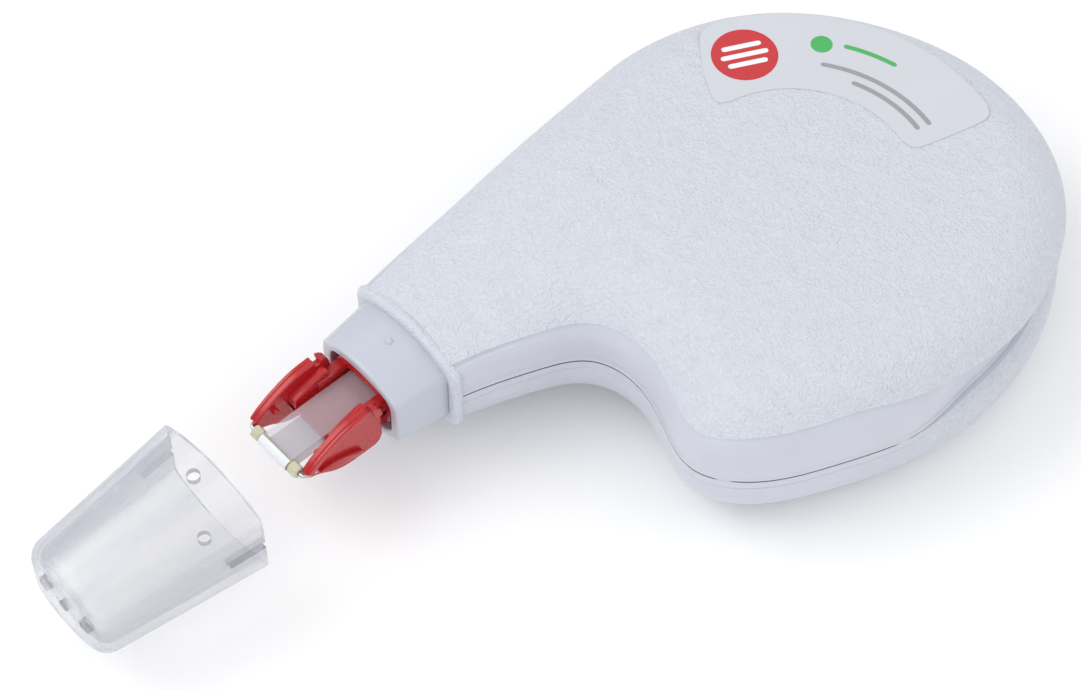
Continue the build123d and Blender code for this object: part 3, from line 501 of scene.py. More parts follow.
# Columns run from the front along the back, round the tail and along the belly to the front.
# Each one starts on the outline and ends on the spine.
belly_side = resampled(belly_line[::-1], SIDE_COLUMNS)
belly_end = lengths_along(belly_line)[-1]
belly_length = np.linspace(0, belly_end, SIDE_COLUMNS)
spine_share = np.interp(belly_length, [0, 10, 14, 22.5, 27, belly_end], [0, 0.22, 0.36, 0.70, 0.80, 1.0])
spine_places = resampled(spine_line, DENSE)
evenly = np.linspace(0, 1, DENSE)
spine_side = np.stack([np.interp(spine_share, evenly, spine_places[:, k]) for k in (0, 1)], 1)
back_dense = resampled(back_line, DENSE)
back_x = BODY_FRONT_X + (back_line[-1][0] - BODY_FRONT_X) * (spine_side[:, 0] - BODY_FRONT_X) / -BODY_FRONT_X
back_side = np.stack([back_x, np.interp(back_x, back_dense[:, 0], back_dense[:, 1])], 1)
OUTLINE = np.concatenate([back_side[:-1], tail_line, belly_side[::-1][1:]])
SPINE = np.concatenate([
    spine_side[:-1], np.repeat(spine_side[-1:], TAIL_COLUMNS, axis=0), spine_side[::-1][1:],
])
COLUMNS = len(OUTLINE)
COLUMN = np.arange(COLUMNS)

# At the front end, the columns turn to run straight across the nose.
along = headings(OUTLINE)
end_ease = smoothstep(0, 10, np.minimum(COLUMN, COLUMN[::-1]))[:, None]
along = along * end_ease + np.sign(along[:, :1]) * np.array([[1.0, 0.0]]) * (1 - end_ease)
along /= np.linalg.norm(along, axis=1)[:, None]
INWARD = right_of(along)

# TURN is the angle about the tail's centre, in degrees, and 180 along the sides of the neck.
first_tail = SIDE_COLUMNS - 1
tail_columns = np.arange(first_tail, first_tail + TAIL_COLUMNS)
ON_TAIL = np.isin(COLUMN, tail_columns).astype(float)
BELLY_SIDE = COLUMN > COLUMNS // 2
side_turn = np.degrees(np.arctan2(OUTLINE[:, 1], OUTLINE[:, 0]))
side_turn = np.where(BELLY_SIDE & (OUTLINE[:, 1] < -24), side_turn, 180.0)
TURN = np.where(ON_TAIL > 0, np.degrees(np.interp(COLUMN, tail_columns, tail_angles)), side_turn)


def away_from(place):
    """Distance of each column's start from a place."""
    return np.linalg.norm(OUTLINE - np.array(place), axis=1)


# How far the smooth band is let in at the tail, and where the lower grain rises to the seam.
RECESS = 2.1 * smoothstep(-112, -86, TURN) * (1 - smoothstep(66, 88, TURN))
LENS = smoothstep(-109, -103, TURN) * (1 - smoothstep(76, 82, TURN))
# The heel has a facet between the band and the grain.
HEEL = BELLY_SIDE * (1 - smoothstep(5, 16, away_from((-22.5, -25.0))))
FRONT = 1 - smoothstep(BODY_FRONT_X, -27, OUTLINE[:, 0])
FRONT = np.where((OUTLINE[:, 1] > 0) | (OUTLINE[:, 0] < -36), FRONT, 0)
NEAR_TAIL = ON_TAIL * smoothstep(-100, -75, TURN) * (1 - smoothstep(-5, 35, TURN))

# The pillow edge: where it starts above the seam, how far it reaches in over the face, and
# the rim between the smooth band and the grain. Rows stay nearer the edge at the heel's bend.
ROUND_START = 3.6 + 1.0 * FRONT + 1.6 * NEAR_TAIL
ROUND_REACH = 8.2
RIM_IN = 0.95 + 0.15 * FRONT + 0.45 * HEEL - 0.6 * NEAR_TAIL
LOW_ROUND = 3.0 + 0.8 * FRONT
LOW_REACH = 8.4
LOW_RIM_IN = 1.2
heel_bend = 1 - smoothstep(8, 24, away_from((-27.0, -19.0)))
ROUND_IN = np.minimum(ROUND_REACH - 4.4 * heel_bend, np.linalg.norm(OUTLINE - SPINE, axis=1) * 0.95)
SIDE_WALL = 1.5
FACE_WALL = 1.8
FRONT_HEIGHT = 6.9
CLIMB_LENGTH = 33.0


def climb(x, gain):
    """Height that rises from the front of the body and levels off towards the tail."""
    share = np.clip((np.asarray(x, float) - BODY_FRONT_X) / CLIMB_LENGTH, 0, 1)
    first_slope = 0.12 * CLIMB_LENGTH * (share - 2 * share ** 2 + share ** 3)
    return FRONT_HEIGHT + gain * (3 * share ** 2 - 2 * share ** 3) + first_slope


def top_height(x, y):
    """Height of the upper face above the seam: a rise along the nose and a soft dome."""
    away = (np.asarray(x, float) - 1) ** 2 + np.asarray(y, float) ** 2
    return climb(x, 4.4) + 0.55 * np.exp(-away / 20.0 ** 2)


def under_height(x, y):
    """Depth of the flat underside below the seam."""
    return climb(x, 4.6)


def from_outline(places):
    """Distance of each place from the outline, and the nearest column."""
    start, step = OUTLINE[:-1], np.diff(OUTLINE, axis=0)
    gap = places[:, None, :] - start[None, :, :]
    share = np.clip((gap * step[None]).sum(2) / (step ** 2).sum(1)[None], 0, 1)
    lengths = np.linalg.norm(gap - share[:, :, None] * step[None], axis=2)
    nearest = lengths.argmin(axis=1)
    rows = np.arange(len(places))
    return lengths[rows, nearest], nearest + share[rows, nearest]


def rounded(places, inset, start, height, reach):
    """Height of a pillow edge: a quarter round that ends level with the face."""
    top = height(places[:, 0], places[:, 1])
    share = 1 - np.clip(inset / reach, 0, 1)
    return start + (top - start) * np.sqrt(1 - share ** 2)


def set_in(inset):
    """The outline moved inwards, by one inset or by one for each column."""
    return OUTLINE + INWARD * np.broadcast_to(np.asarray(inset, float), (COLUMNS,))[:, None]


def at_height(places, rel):
    return np.concatenate([places, np.broadcast_to(MID_Z + rel, (COLUMNS,))[:, None]], 1)


def shell_row(inset, rel):
    """One row of a shell at an inset from the outline and a height from the seam."""
    return at_height(set_in(inset), rel)


def covering_rows(start_in, round_start, reach, height, side, steps=16, inner_steps=18):
    """Rows from the rim, over the rounded edge and in to the spine."""
    rows = []
    edge = set_in(ROUND_IN)
    for k in range(1, steps + inner_steps + 1):
        if k <= steps:
            places = set_in(start_in + (ROUND_IN - start_in) * (k / steps) ** 1.4)
        else:
            places = edge + (SPINE - edge) * ((k - steps) / inner_steps) ** 1.25
        inset, column = from_outline(places)
        start = np.interp(column, COLUMN, round_start)
        rows.append(at_height(places, side * rounded(places, inset, start, height, reach)))
    return rows


def lining_rows(reach, height, side):
    """Inside of a shell: up its side wall and in under its face."""
    start_in = RECESS + SIDE_WALL
    rows = [shell_row(start_in, side * 0.08), shell_row(start_in, side * 2.0)]
    under_face = covering_rows(
        start_in, np.full(COLUMNS, 1.5), reach + 1, lambda x, y: height(x, y) - FACE_WALL, side, 6, 5,
    )
    return rows + under_face


# ---------------------------------------------------------------- upper shell
# The parting gap is narrow round the tail and closes at two places along the heel.
distance_along = lengths_along(OUTLINE)
OPEN = 1 - 0.85 * LENS
for place in ((-29.3, -19.3), (-10.3, -29.6)):
    away = distance_along - distance_along[np.argmin(away_from(place))]
    OPEN = OPEN * (1 - smoothstep(0.25, 0.6, np.exp(-(away / 1.1) ** 2)))
GAP = 0.01 + 0.11 * OPEN
GAP_IN = RECESS + 0.02

upper_rows = [
    shell_row(GAP_IN + 0.6 * OPEN, GAP),
    shell_row(GAP_IN + 0.02 * OPEN, GAP),
    shell_row(RECESS, 0.03 + 0.12 * OPEN),
]
for rel, groove in ((0.60, 0), (0.68, 0.035), (0.76, 0.035), (0.84, 0), (2.0, 0), (2.9, 0)):
    upper_rows.append(shell_row(RECESS + groove, rel))


def flush_row(inset):
    """Row on the rounded edge, or let in by the recess below an overhanging rim."""
    rel = rounded(set_in(inset), inset, ROUND_START, top_height, ROUND_REACH)
    return shell_row(np.maximum(inset, RECESS), rel)


RIM_REL = rounded(set_in(RIM_IN), RIM_IN, ROUND_START, top_height, ROUND_REACH)
upper_rows += [
    shell_row(RECESS, ROUND_START - 0.15),
    flush_row(RIM_IN * 0.05),
    flush_row(RIM_IN * 0.2),
    flush_row(RIM_IN * 0.45),
    shell_row(np.maximum(RIM_IN * 0.8, RECESS), RIM_REL - 0.45),
    shell_row(RIM_IN + 0.05 + 0.2 * NEAR_TAIL, RIM_REL - 0.08),
    shell_row(RIM_IN - 0.06, RIM_REL),
]
RIM_ROW = len(upper_rows) - 2
upper_rows += covering_rows(RIM_IN, ROUND_START, ROUND_REACH, top_height, 1)


def upper_slot(band, column):
    """Smooth band below the rim, grain above it, and a dark painted shade on the face in the gap."""
    if band == 0:
        return 2
    return 1 if band >= RIM_ROW else 0


SHELL_LOOKS = [SHELL_SMOOTH, SHELL_GRAIN, SHELL_GAP_SHADE]
upper = Form()
upper.loft(upper_rows, slot=upper_slot, closed=False)
# The gap face and the lining take the dark painted shade.
upper.loft([upper_rows[0]] + lining_rows(ROUND_REACH, top_height, 1), slot=2, closed=False)
build("upper_shell_skin", "body", upper, SHELL_LOOKS, ["upper_shell"])


# ---------------------------------------------------------------- lower shell
def swell(depth):
    """Inset at a depth below the seam. At the tail, a grained swelling reaches up to the seam."""
    share = np.clip(depth / 2.4, 0, 1)
    return RECESS * (1 - LENS * np.sqrt(1 - (1 - share) ** 2))


lower_rows = [
    shell_row(GAP_IN + 0.6 * OPEN, -GAP),
    shell_row(GAP_IN + 0.02 * OPEN, -GAP),
    shell_row(swell(0.10), -0.03 - 0.12 * OPEN),
    shell_row(swell(0.25), -0.28),
]
for depth in (0.55, 0.9, 1.25, 1.32, 1.40, 1.48, 2.0, 2.4, 2.8):
    groove = 0.09 if depth in (1.32, 1.40) else 0
    lower_rows.append(shell_row(swell(depth) + groove * (1 - LENS), -depth))
low_recess = RECESS * (1 - LENS)
for share in (0.1, 0.3, 0.6):
    inset = LOW_RIM_IN * share
    rel = rounded(set_in(inset), inset, LOW_ROUND, under_height, LOW_REACH)
    lower_rows.append(shell_row(np.maximum(inset, low_recess), -rel))
LOW_RIM = rounded(set_in(LOW_RIM_IN), LOW_RIM_IN, LOW_ROUND, under_height, LOW_REACH)
lower_rows += [
    shell_row(np.maximum(LOW_RIM_IN + 0.05, low_recess), 0.08 - LOW_RIM),
    shell_row(LOW_RIM_IN - 0.05, -LOW_RIM),
]
LOW_RIM_ROW = len(lower_rows) - 2
lower_rows += covering_rows(LOW_RIM_IN, LOW_ROUND, LOW_REACH, under_height, -1)
SWELL_ENDS = (-106.5, 79.5)


def lower_slot(band, column):
    """Grain below the rim and on the swelling, whose ends are rounded off."""
    if band >= LOW_RIM_ROW:
        return 1
    # The face in the parting gap takes the dark painted shade.
    if band == 0:
        return 2
    rounding = 3.0 * max(0.0, 1 - band / 9.0) ** 2
    inside = SWELL_ENDS[0] + rounding < TURN[column] < SWELL_ENDS[1] - rounding
    return 1 if band >= 2 and inside else 0


lower = Form()
lower.loft(lower_rows, slot=lower_slot, closed=False)
# The gap face and the lining take the dark painted shade.
lower.loft([lower_rows[0]] + lining_rows(LOW_REACH, under_height, -1), slot=2, closed=False)


def post(form, place, radius, bottom, top, bore=0.0):
    """Round post with small chamfers, and a bore if it has one."""
    profile = [(radius, bottom), (radius, top - 0.15), (radius - 0.15, top)]
    profile.append((bore, top) if bore else (0.001, top))
    if bore:
        profile.append((bore, top - 4))
    form.loft([[(*p, z) for p in circle(place, reach, 40)] for reach, z in profile])


for place, radius, top, bore in ((SUPPLY, 3.0, 15.3, 1.2), (TAKEUP, 2.2, 15.3, 0.9), (IDLER, 1.6, 5.5, 0)):
    post(lower, place, radius + 1.2, 1.6, 2.9)
    post(lower, place, radius, 2.0, top, bore)
for place in ((3.0, 26.0), (-25.5, -17.0), (-26.0, 24.0), (25.6, 12.8), (-2.0, -27.0)):
    post(lower, place, 2.3, 5.0, 11.42, 1.2)
build("lower_shell_skin", "body", lower, SHELL_LOOKS, ["lower_shell"])

# ---------------------------------------------------------------- lip bead round the nose
# Half width, side height and crown height of the sections along the nose.
LIP_SECTION = (8.9, 4.9, 7.2)
COLLAR_REAR = (7.5, 3.9, 6.0)
COLLAR_FRONT = (6.9, 3.2, 5.35)
COLLAR_MOUTH = (5.4, 2.9, 3.9)
SPIGOT = (6.9, 3.4, 5.4)
SPIGOT_BORE = (5.6, 2.3, 4.2)
HEAD_BORE = (3.75, 1.4, 3.74)


def grown(size, extra):
    return [v + extra for v in size]


def between(size_a, size_b, share):
    return [a + (b - a) * share for a, b in zip(size_a, size_b)]


lip = Form()
lip_profile = [
    (-45.44, -1.30), (-45.50, -1.05), (-45.52, -0.55), (-45.46, -0.25), (-45.30, -0.04), (-45.05, 0.06),
    (-44.75, 0.08), (-44.45, 0.02), (-44.22, -0.12), (-44.10, -0.32), (-44.06, -0.8), (-44.06, -1.30),
]
rings = [crowned_ring(x, grown(LIP_SECTION, extra), 1.0, (36, 8, 12)) for x, extra in lip_profile]
lip.loft(rings + [rings[0]])
build("lip_bead", "body", lip, [SHELL_GRAIN], sharp=50)

# ---------------------------------------------------------------- nose collar
COLLAR_COUNTS = (36, 7, 12)
COLLAR_TIP_X = -52.5
COLLAR_ROUND = 0.45
MOUTH_ROUND = 0.25
COLLAR_CORNER = 0.75
MOUTH_CORNER = 1.5
rings = []
for share in np.linspace(0, 1, 9):
    x = BODY_FRONT_X + (COLLAR_TIP_X + COLLAR_ROUND - BODY_FRONT_X) * share
    rings.append(crowned_ring(x, between(COLLAR_REAR, COLLAR_FRONT, share), COLLAR_CORNER, COLLAR_COUNTS))
for turn in np.radians(np.linspace(0, 90, 7)[1:]):
    x = COLLAR_TIP_X + COLLAR_ROUND * (1 - math.sin(turn))
    size = grown(COLLAR_FRONT, -COLLAR_ROUND * (1 - math.cos(turn)))
    rings.append(crowned_ring(x, size, COLLAR_CORNER, COLLAR_COUNTS))
outer_rim = grown(COLLAR_FRONT, -COLLAR_ROUND)
inner_rim = grown(COLLAR_MOUTH, MOUTH_ROUND)
for share in (0.35, 0.7, 1.0):
    corner = COLLAR_CORNER + (MOUTH_CORNER - COLLAR_CORNER) * share
    rings.append(crowned_ring(COLLAR_TIP_X, between(outer_rim, inner_rim, share), corner, COLLAR_COUNTS))
for turn in np.radians(np.linspace(0, 90, 5)[1:]):
    x = COLLAR_TIP_X + MOUTH_ROUND * (1 - math.cos(turn))
    size = grown(COLLAR_MOUTH, MOUTH_ROUND * (1 - math.sin(turn)))
    rings.append(crowned_ring(x, size, MOUTH_CORNER, COLLAR_COUNTS))
for x in (-51.4, -50.2, -49.0, -48.6):
    rings.append(crowned_ring(x, COLLAR_MOUTH, MOUTH_CORNER, COLLAR_COUNTS))
for x in (-48.6, -45.4):
    rings.append(crowned_ring(x, HEAD_BORE, 1.3, COLLAR_COUNTS))
collar = Form()
collar.loft(rings)
spigot = [(-45.0, COLLAR_REAR), (-45.0, SPIGOT), (-40.5, SPIGOT), (-40.5, SPIGOT_BORE), (-45.4, SPIGOT_BORE)]
spigot_rings = [crowned_ring(x, size, COLLAR_CORNER, COLLAR_COUNTS) for x, size in spigot]
collar.loft(spigot_rings + [rings[-1]])


def dome(form, centre, radius, height, axis, steps=7):
    """Low round bump that stands out along +Z or -Z."""
    rings = []
    for turn in np.linspace(0, math.pi / 2, steps + 1):
        level = centre[2] + axis * height * math.sin(turn)
        rings.append([(*p, level) for p in circle(centre, radius * math.cos(turn) + 1e-4, 28)])
    form.loft(rings, end_cap=True)


SNAP_X = -47.8
SNAP_BASE = 5.48
for axis in (1, -1):
    dome(collar, (SNAP_X, NOSE_Y, MID_Z + axis * SNAP_BASE), 0.72, 0.25, axis)
    dome(collar, (SNAP_X, NOSE_Y, MID_Z + axis * (SNAP_BASE + 0.15)), 0.52, 0.42, axis)
build("nose_collar_skin", "body", collar, [COLLAR], ["nose_collar"], sharp=55)


# ---------------------------------------------------------------- cap
CAP_MOUTH_X = -73.8
CAP_DEPTH = 21.7
CAP_WALL = 0.85
CAP_TIP_SECTION = (6.8, 4.2, 6.1)


def cap_ring(distance, wall, shrink_y=0.0, shrink_z=0.0):
    """Ring at a distance in front of the mouth, drawn in across and through by separate amounts."""
    share = min(distance, CAP_DEPTH) / CAP_DEPTH
    half, side, crown = grown(between(LIP_SECTION, CAP_TIP_SECTION, share), -wall)
    loop = crowned(half, side, crown, max(0.9 + 1.3 * share - 0.5 * wall, 0.5), (40, 10, 12))
    scale = np.array([(half - shrink_y) / half, (crown - shrink_z) / crown])
    return nose_ring(CAP_MOUTH_X - distance, loop * scale)


def cap_surface(wall, depth, mouth_soften):
    """Rings from the mouth, round the closed end and in to its middle."""
    turn_x, turn_y, turn_z = 2.1 - wall * 0.7, 1.8 - wall * 0.5, 1.5 - wall * 0.5
    rings = [
        cap_ring(0.0, wall, mouth_soften, mouth_soften),
        cap_ring(0.06, wall, mouth_soften * 0.35, mouth_soften * 0.35),
    ]
    for distance in np.linspace(0.2, depth - turn_x, 16):
        rings.append(cap_ring(distance, wall))
    for turn in np.radians(np.linspace(0, 90, 14)[1:]):
        ease = 1 - math.cos(turn)
        rings.append(cap_ring(depth - turn_x * (1 - math.sin(turn)), wall, turn_y * ease, turn_z * ease))
    last_round = rings[-1]
    middle = np.array([[CAP_MOUTH_X - depth, NOSE_Y, MID_Z]])
    for share in (0.8, 0.6, 0.4, 0.2, 0.02):
        ring = middle + (last_round - middle) * share
        ring[:, 0] = CAP_MOUTH_X - depth - 0.15 * (1 - share ** 2)
        rings.append(ring)
    return rings


cap_form = Form()
outer = cap_surface(0.0, CAP_DEPTH, 0.10)
inner = cap_surface(CAP_WALL, CAP_DEPTH - CAP_WALL, -0.10)
cap_form.loft(outer[::-1] + inner, start_cap=True, end_cap=True)
cap = build("cap_clear_cup", "cap", cap_form, [CAP_CLEAR], ["cap"], sharp=40)


def prism(loop, low, high, axis):
    """Closed prism: a loop in the plane across the axis, between two places on it."""
    form = Form()
    rings = []
    for place in (low, high):
        rings.append([tuple(np.insert(np.asarray(p, float), axis, place)) for p in loop])
    form.loft(rings, start_cap=True, end_cap=True)
    return form


# Snap holes above and below, slots in both sides of the mouth, and three vents in the closed end.
ACROSS_END = (CAP_MOUTH_X - CAP_DEPTH - 1.5, CAP_MOUTH_X - CAP_DEPTH + 3.0)
cuts = [
    prism(circle((CAP_MOUTH_X - 2.6, NOSE_Y), 0.8), 0, 2 * MID_Z, 2),
    prism(soft_rectangle((CAP_MOUTH_X, MID_Z), 4.8, 0.62, 0.3), NOSE_Y - 13, NOSE_Y + 13, 1),
    prism(circle((NOSE_Y, MID_Z), 0.7), *ACROSS_END, 0),
]
for side in (1, -1):
    cuts.append(prism(soft_rectangle((NOSE_Y + side * 3.7, MID_Z), 0.7, 0.7, 0.1), *ACROSS_END, 0))
for number, form in enumerate(cuts):
    # The walls of each cut take a dark painted shade, which stands in for the dark rims that refraction gives
    # in clear plastic.
    tool = in_scene(f"cap_cut_{number}", mesh_of(f"cap_cut_{number}", form, [CAP_CUT_SHADE], 1e-7))
    modifier = cap.modifiers.new("Boolean", "BOOLEAN")
    modifier.operation = "DIFFERENCE"
    modifier.solver = "EXACT"
    modifier.object = tool
    modifier.material_mode = "TRANSFER"
    bpy.context.view_layer.update()
    graph = bpy.context.evaluated_depsgraph_get()
    shaped = bpy.data.meshes.new_from_object(cap.evaluated_get(graph))
    cap.modifiers.clear()
    cap.data = shaped
    bpy.data.objects.remove(tool)
cap.data.set_sharp_from_angle(angle=math.radians(40))

# ---------------------------------------------------------------- red tip head
head = Form()


def head_ring(line, y):
    return np.stack([TIP_X + line[:, 0], np.full(len(line), NOSE_Y + y), MID_Z + line[:, 1]], 1)


def drawn_in(line, margin):
    """Closed loop of (x, z) points, which runs front, top, rear, moved inwards."""
    around = np.roll(line, -1, axis=0) - np.roll(line, 1, axis=0)
    return line + margin * right_of(around / np.linalg.norm(around, axis=1)[:, None])


def plate(form, line, y_in, y_out, soft):
    """Flat plate with softened edges: a loop in side view, between two places across the head."""
    step = math.copysign(soft, y_out - y_in)
    rings = [
        head_ring(drawn_in(line, soft), y_in), head_ring(line, y_in + step),
        head_ring(line, y_out - step), head_ring(drawn_in(line, soft), y_out),
    ]
    form.loft(rings, start_cap=True, end_cap=True)


arm_top = resampled(smooth_curve(
    [(0.35, 0.55), (2.2, 2.15), (4.6, 3.4), (7.0, 4.15), (9.35, 4.3)], first=(0.7, 1), last=(1, 0.0),
), 22)
arm_low = resampled(smooth_curve(
    [(7.2, -3.7), (4.2, -2.9), (1.2, -1.0), (0.35, -0.45)], first=(-1, 0.05), last=(-0.3, 1),
), 12)
arm_notch = np.array([(9.5, 3.7), (10.0, 3.65)])
arm_rear = np.array([(10.15, 4.15), (10.75, 4.0), (11.3, 3.4), (11.6, 2.2)])
arm_heel = np.array([(11.6, -2.4), (11.2, -3.3), (10.4, -3.7)])
ARM = np.concatenate([arm_top, arm_notch, arm_rear, arm_heel, arm_low])
RIB = np.concatenate([arm_top, (arm_top + 0.95 * right_of(headings(arm_top)))[::-1]])
REAR_RIB = np.concatenate([arm_rear, [(10.7, 1.9), (10.3, 3.2)]])
INNER_RIB = np.array([(5.2, -0.4), (5.2, 1.75), (9.6, 3.3), (10.3, 3.15), (10.6, -0.4)])
ARM_IN, ARM_OUT, RIB_OUT, RIB_FOOT = 4.1, 4.95, 5.4, 4.85
for side in (1, -1):
    plate(head, ARM, side * ARM_IN, side * ARM_OUT, 0.16)
    plate(head, RIB, side * RIB_FOOT, side * RIB_OUT, 0.12)
    plate(head, REAR_RIB, side * RIB_FOOT, side * RIB_OUT, 0.12)
    plate(head, INNER_RIB, side * 4.2, side * 2.95, 0.12)


def block(form, x, y, half_z, soft):
    """Box with chamfered edges about the nose's height, from (low, high) pairs along X and Y."""
    centre = ((x[0] + x[1]) / 2, (y[0] + y[1]) / 2)
    rings = []
    for level, inset in ((-half_z, soft), (soft - half_z, 0), (half_z - soft, 0), (half_z, soft)):
        loop = soft_rectangle(centre, (x[1] - x[0]) / 2 - inset, (y[1] - y[0]) / 2 - inset, soft, 4)
        rings.append([(*p, MID_Z + level) for p in loop])
    form.loft(rings, start_cap=True, end_cap=True)


def station(distance):
    """Place on X at a distance behind the tip roller."""
    return TIP_X + distance


# The bridge between the arms, a block at each end of it, and a lens-shaped fin outside each arm.
block(head, (station(5.2), station(15.4)), (NOSE_Y - 4.2, NOSE_Y + 4.2), 0.35, 0.08)
for side in (1, -1):
    ends = sorted((NOSE_Y + side * 2.75, NOSE_Y + side * 4.2))
    block(head, (station(8.6), station(13.4)), ends, 2.2, 0.15)
    lens = []
    for y, spread in ((RIB_FOOT, 1.0), (RIB_OUT, 1.0), (RIB_OUT + 0.12, 0.86)):
        fin = []
        for t in np.linspace(0, 2 * math.pi, 32, endpoint=False):
            a, b = 3.3 * spread * math.cos(t), 0.72 * spread * math.sin(t)
            across = -1.35 - a * 0.30 + b * 0.94
            fin.append((station(5.2 + a * 0.94 + b * 0.33), NOSE_Y + side * y, MID_Z + across))
        lens.append(fin)
    head.loft(lens, start_cap=True, end_cap=True)
# The sleeve runs into the collar, and the journal behind it turns in the collar's bore.
sleeve = [
    (12.9, 4.55, 2.85), (13.0, 4.75, 3.0), (15.9, 4.75, 3.0), (16.0, 4.6, 2.85),
    (16.0, 3.15, 1.75), (12.9, 3.15, 1.75),
]
rings = []
for x, half_y, half_z in sleeve:
    loop = soft_rectangle((NOSE_Y, MID_Z), half_y, half_z, min(2.2, half_z * 0.75), 9)
    rings.append([(station(x), *p) for p in loop])
head.loft(rings + [rings[0]])
journal = [(15.8, 3.7), (19.8, 3.7), (19.8, 4.0), (20.3, 4.0), (20.4, 3.9), (20.4, 2.95), (15.8, 2.95)]
rings = []
for x, reach in journal:
    rings.append([(station(x), *p) for p in circle((NOSE_Y, MID_Z), reach, 48)])
head.loft(rings + [rings[0]])


def peg(form, x, y, z, radius, length, side):
    """Round peg that stands out along Y with a softened end."""
    rings = []
    for reach, out in ((radius, 0), (radius, length - 0.1), (radius - 0.1, length)):
        rings.append([(p[0], y + side * out, p[1]) for p in circle((x, z), reach, 28)])
    form.loft(rings, start_cap=True, end_cap=True)


for side in (1, -1):
    peg(head, station(3.0), NOSE_Y + side * 4.2, MID_Z + 1.0, 0.42, 0.75, -side)
build("tip_head_arms", "head", head, [HEAD_RED], ["tip_head"], sharp=34)

# ---------------------------------------------------------------- roller, wire, tape
# Profile of the roller along Y. Its thicker ends are faceted.
roller = Form()
profile = [
    (-4.0, 0.32), (-4.0, 0.70), (-3.88, 0.80), (-2.75, 0.80), (-2.66, 0.72), (-2.6, 0.62), (2.6, 0.62),
    (2.66, 0.72), (2.75, 0.80), (3.88, 0.80), (4.0, 0.70), (4.0, 0.32),
]
rings = []
for y, reach in profile:
    loop = []
    for t in np.linspace(0, 2 * math.pi, 48, endpoint=False):
        facet = reach
        if abs(y) > 2.7 and reach > 0.6:
            facet = reach * 1.06 / (1 + 0.14 * abs(math.sin(3 * t)))
        loop.append((TIP_X + facet * math.cos(t), NOSE_Y + y, MID_Z + facet * math.sin(t)))
    rings.append(loop)
roller.loft(rings + [rings[0]])
build("tip_roller_core", "roller", roller, [ROLLER_IVORY], ["tip_roller"], sharp=28)

tape = Form()


def strip_profile(line, thickness):
    """Closed (x, z) loop of a thin strip that follows a line."""
    side = right_of(headings(line)) * thickness / 2
    return np.concatenate([line - side, (line + side)[::-1]])


TAPE_HALF = 2.5
TAPE_T = 0.1
WRAP_R = 0.85
STRIP_END = 21.0
turns = np.radians(np.linspace(90, 270, 37))
wrap = np.stack([WRAP_R * np.cos(turns), WRAP_R * np.sin(turns)], 1)
under = np.stack([np.linspace(0.4, STRIP_END, 40), np.full(40, -WRAP_R)], 1)
line = np.concatenate([wrap, under])
rings = []
for y, thin in ((-TAPE_HALF, 0.6), (0.04 - TAPE_HALF, 1.0), (TAPE_HALF - 0.04, 1.0), (TAPE_HALF, 0.6)):
    rings.append(head_ring(strip_profile(line, TAPE_T * thin), y))
tape.loft(rings, start_cap=True, end_cap=True)
build("tape_loop_strip", "head", tape, [TAPE_WHITE], ["tape_loop"], sharp=50)

film = Form()
slack = 0.12 * np.sin(np.linspace(0, math.pi, 60)) ** 2
line = np.stack([np.linspace(0.15, STRIP_END, 60), WRAP_R + slack], 1)
rings = [head_ring(strip_profile(line, 0.07), y) for y in (-TAPE_HALF, TAPE_HALF)]
film.loft(rings, start_cap=True, end_cap=True)
build("carrier_loop_film", "head", film, [FILM], ["carrier_loop"], sharp=50)

wire = bpy.data.curves.new("axle_wire_bent", "CURVE")
wire.dimensions = "3D"
wire.bevel_depth = 0.25 * MM
wire.bevel_resolution = 6
wire.resolution_u = 16
wire.use_fill_caps = True
path = wire.splines.new("NURBS")
half_way = [(1.7, -5.05), (0.9, -4.95), (0.02, -4.75), (0, -4.2), (0, -2)]
way = half_way + [(0, 0)] + [(x, -y) for x, y in half_way[::-1]]
path.points.add(len(way) - 1)
for point, (x, y) in zip(path.points, way):
    point.co = (station(x) * MM, (NOSE_Y + y) * MM, MID_Z * MM, 1)
path.order_u = 3
path.use_endpoint_u = True
wire_piece = in_scene("axle_wire_bent", wire)
wire.materials.append(STEEL)
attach(wire_piece, "head")
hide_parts("axle_wire")


# ---------------------------------------------------------------- label with plain shapes
def on_top(x, y, lift):
    """Point on the upper face, lifted by a little."""
    return (x, y, MID_Z + float(top_height(x, y)) + lift)


def sector(r0, r1, a0, a1, corner, lift, steps=(26, 90)):
    """Grid over an annular sector with rounded corners. Each end's angle is given inside and outside."""
    rows = []
    for i in range(steps[0] + 1):
        share = i / steps[0]
        radius = r0 + (r1 - r0) * share
        edge = min(radius - r0, r1 - radius)
        trim = 0.0
        if edge < corner:
            trim = corner - math.sqrt(max(corner ** 2 - (corner - edge) ** 2, 0))
        trim_angle = math.degrees(trim / radius)
        first = a0[0] + (a0[1] - a0[0]) * share + trim_angle
        last = a1[0] + (a1[1] - a1[0]) * share - trim_angle
        row = []
        for k in range(steps[1] + 1):
            angle = math.radians(first + (last - first) * k / steps[1])
            row.append(on_top(radius * math.cos(angle), radius * math.sin(angle), lift))
        rows.append(row)
    return rows


def rim_of(rows):
    """Closed loop round a grid of rows."""
    return rows[0] + [row[-1] for row in rows[1:]] + rows[-1][::-1][1:] + [row[0] for row in rows[::-1][1:-1]]


def lowered(row, thickness):
    return [(p[0], p[1], p[2] - thickness) for p in row]


def sheet_of(form, rows, thickness, slot=0):
    """Thin solid between a grid of rows and the same grid lowered."""
    low = [lowered(row, thickness) for row in rows]
    form.loft(rows, slot=slot, closed=False)
    form.loft(low, slot=slot, closed=False)
    form.loft([rim_of(rows), rim_of(low)], slot=slot)


label = Form()
sheet_of(label, sector(14.3, 26.4, (-23, -19), (86, 71.5), 1.8, 0.10), 0.14)


INK = 0.02


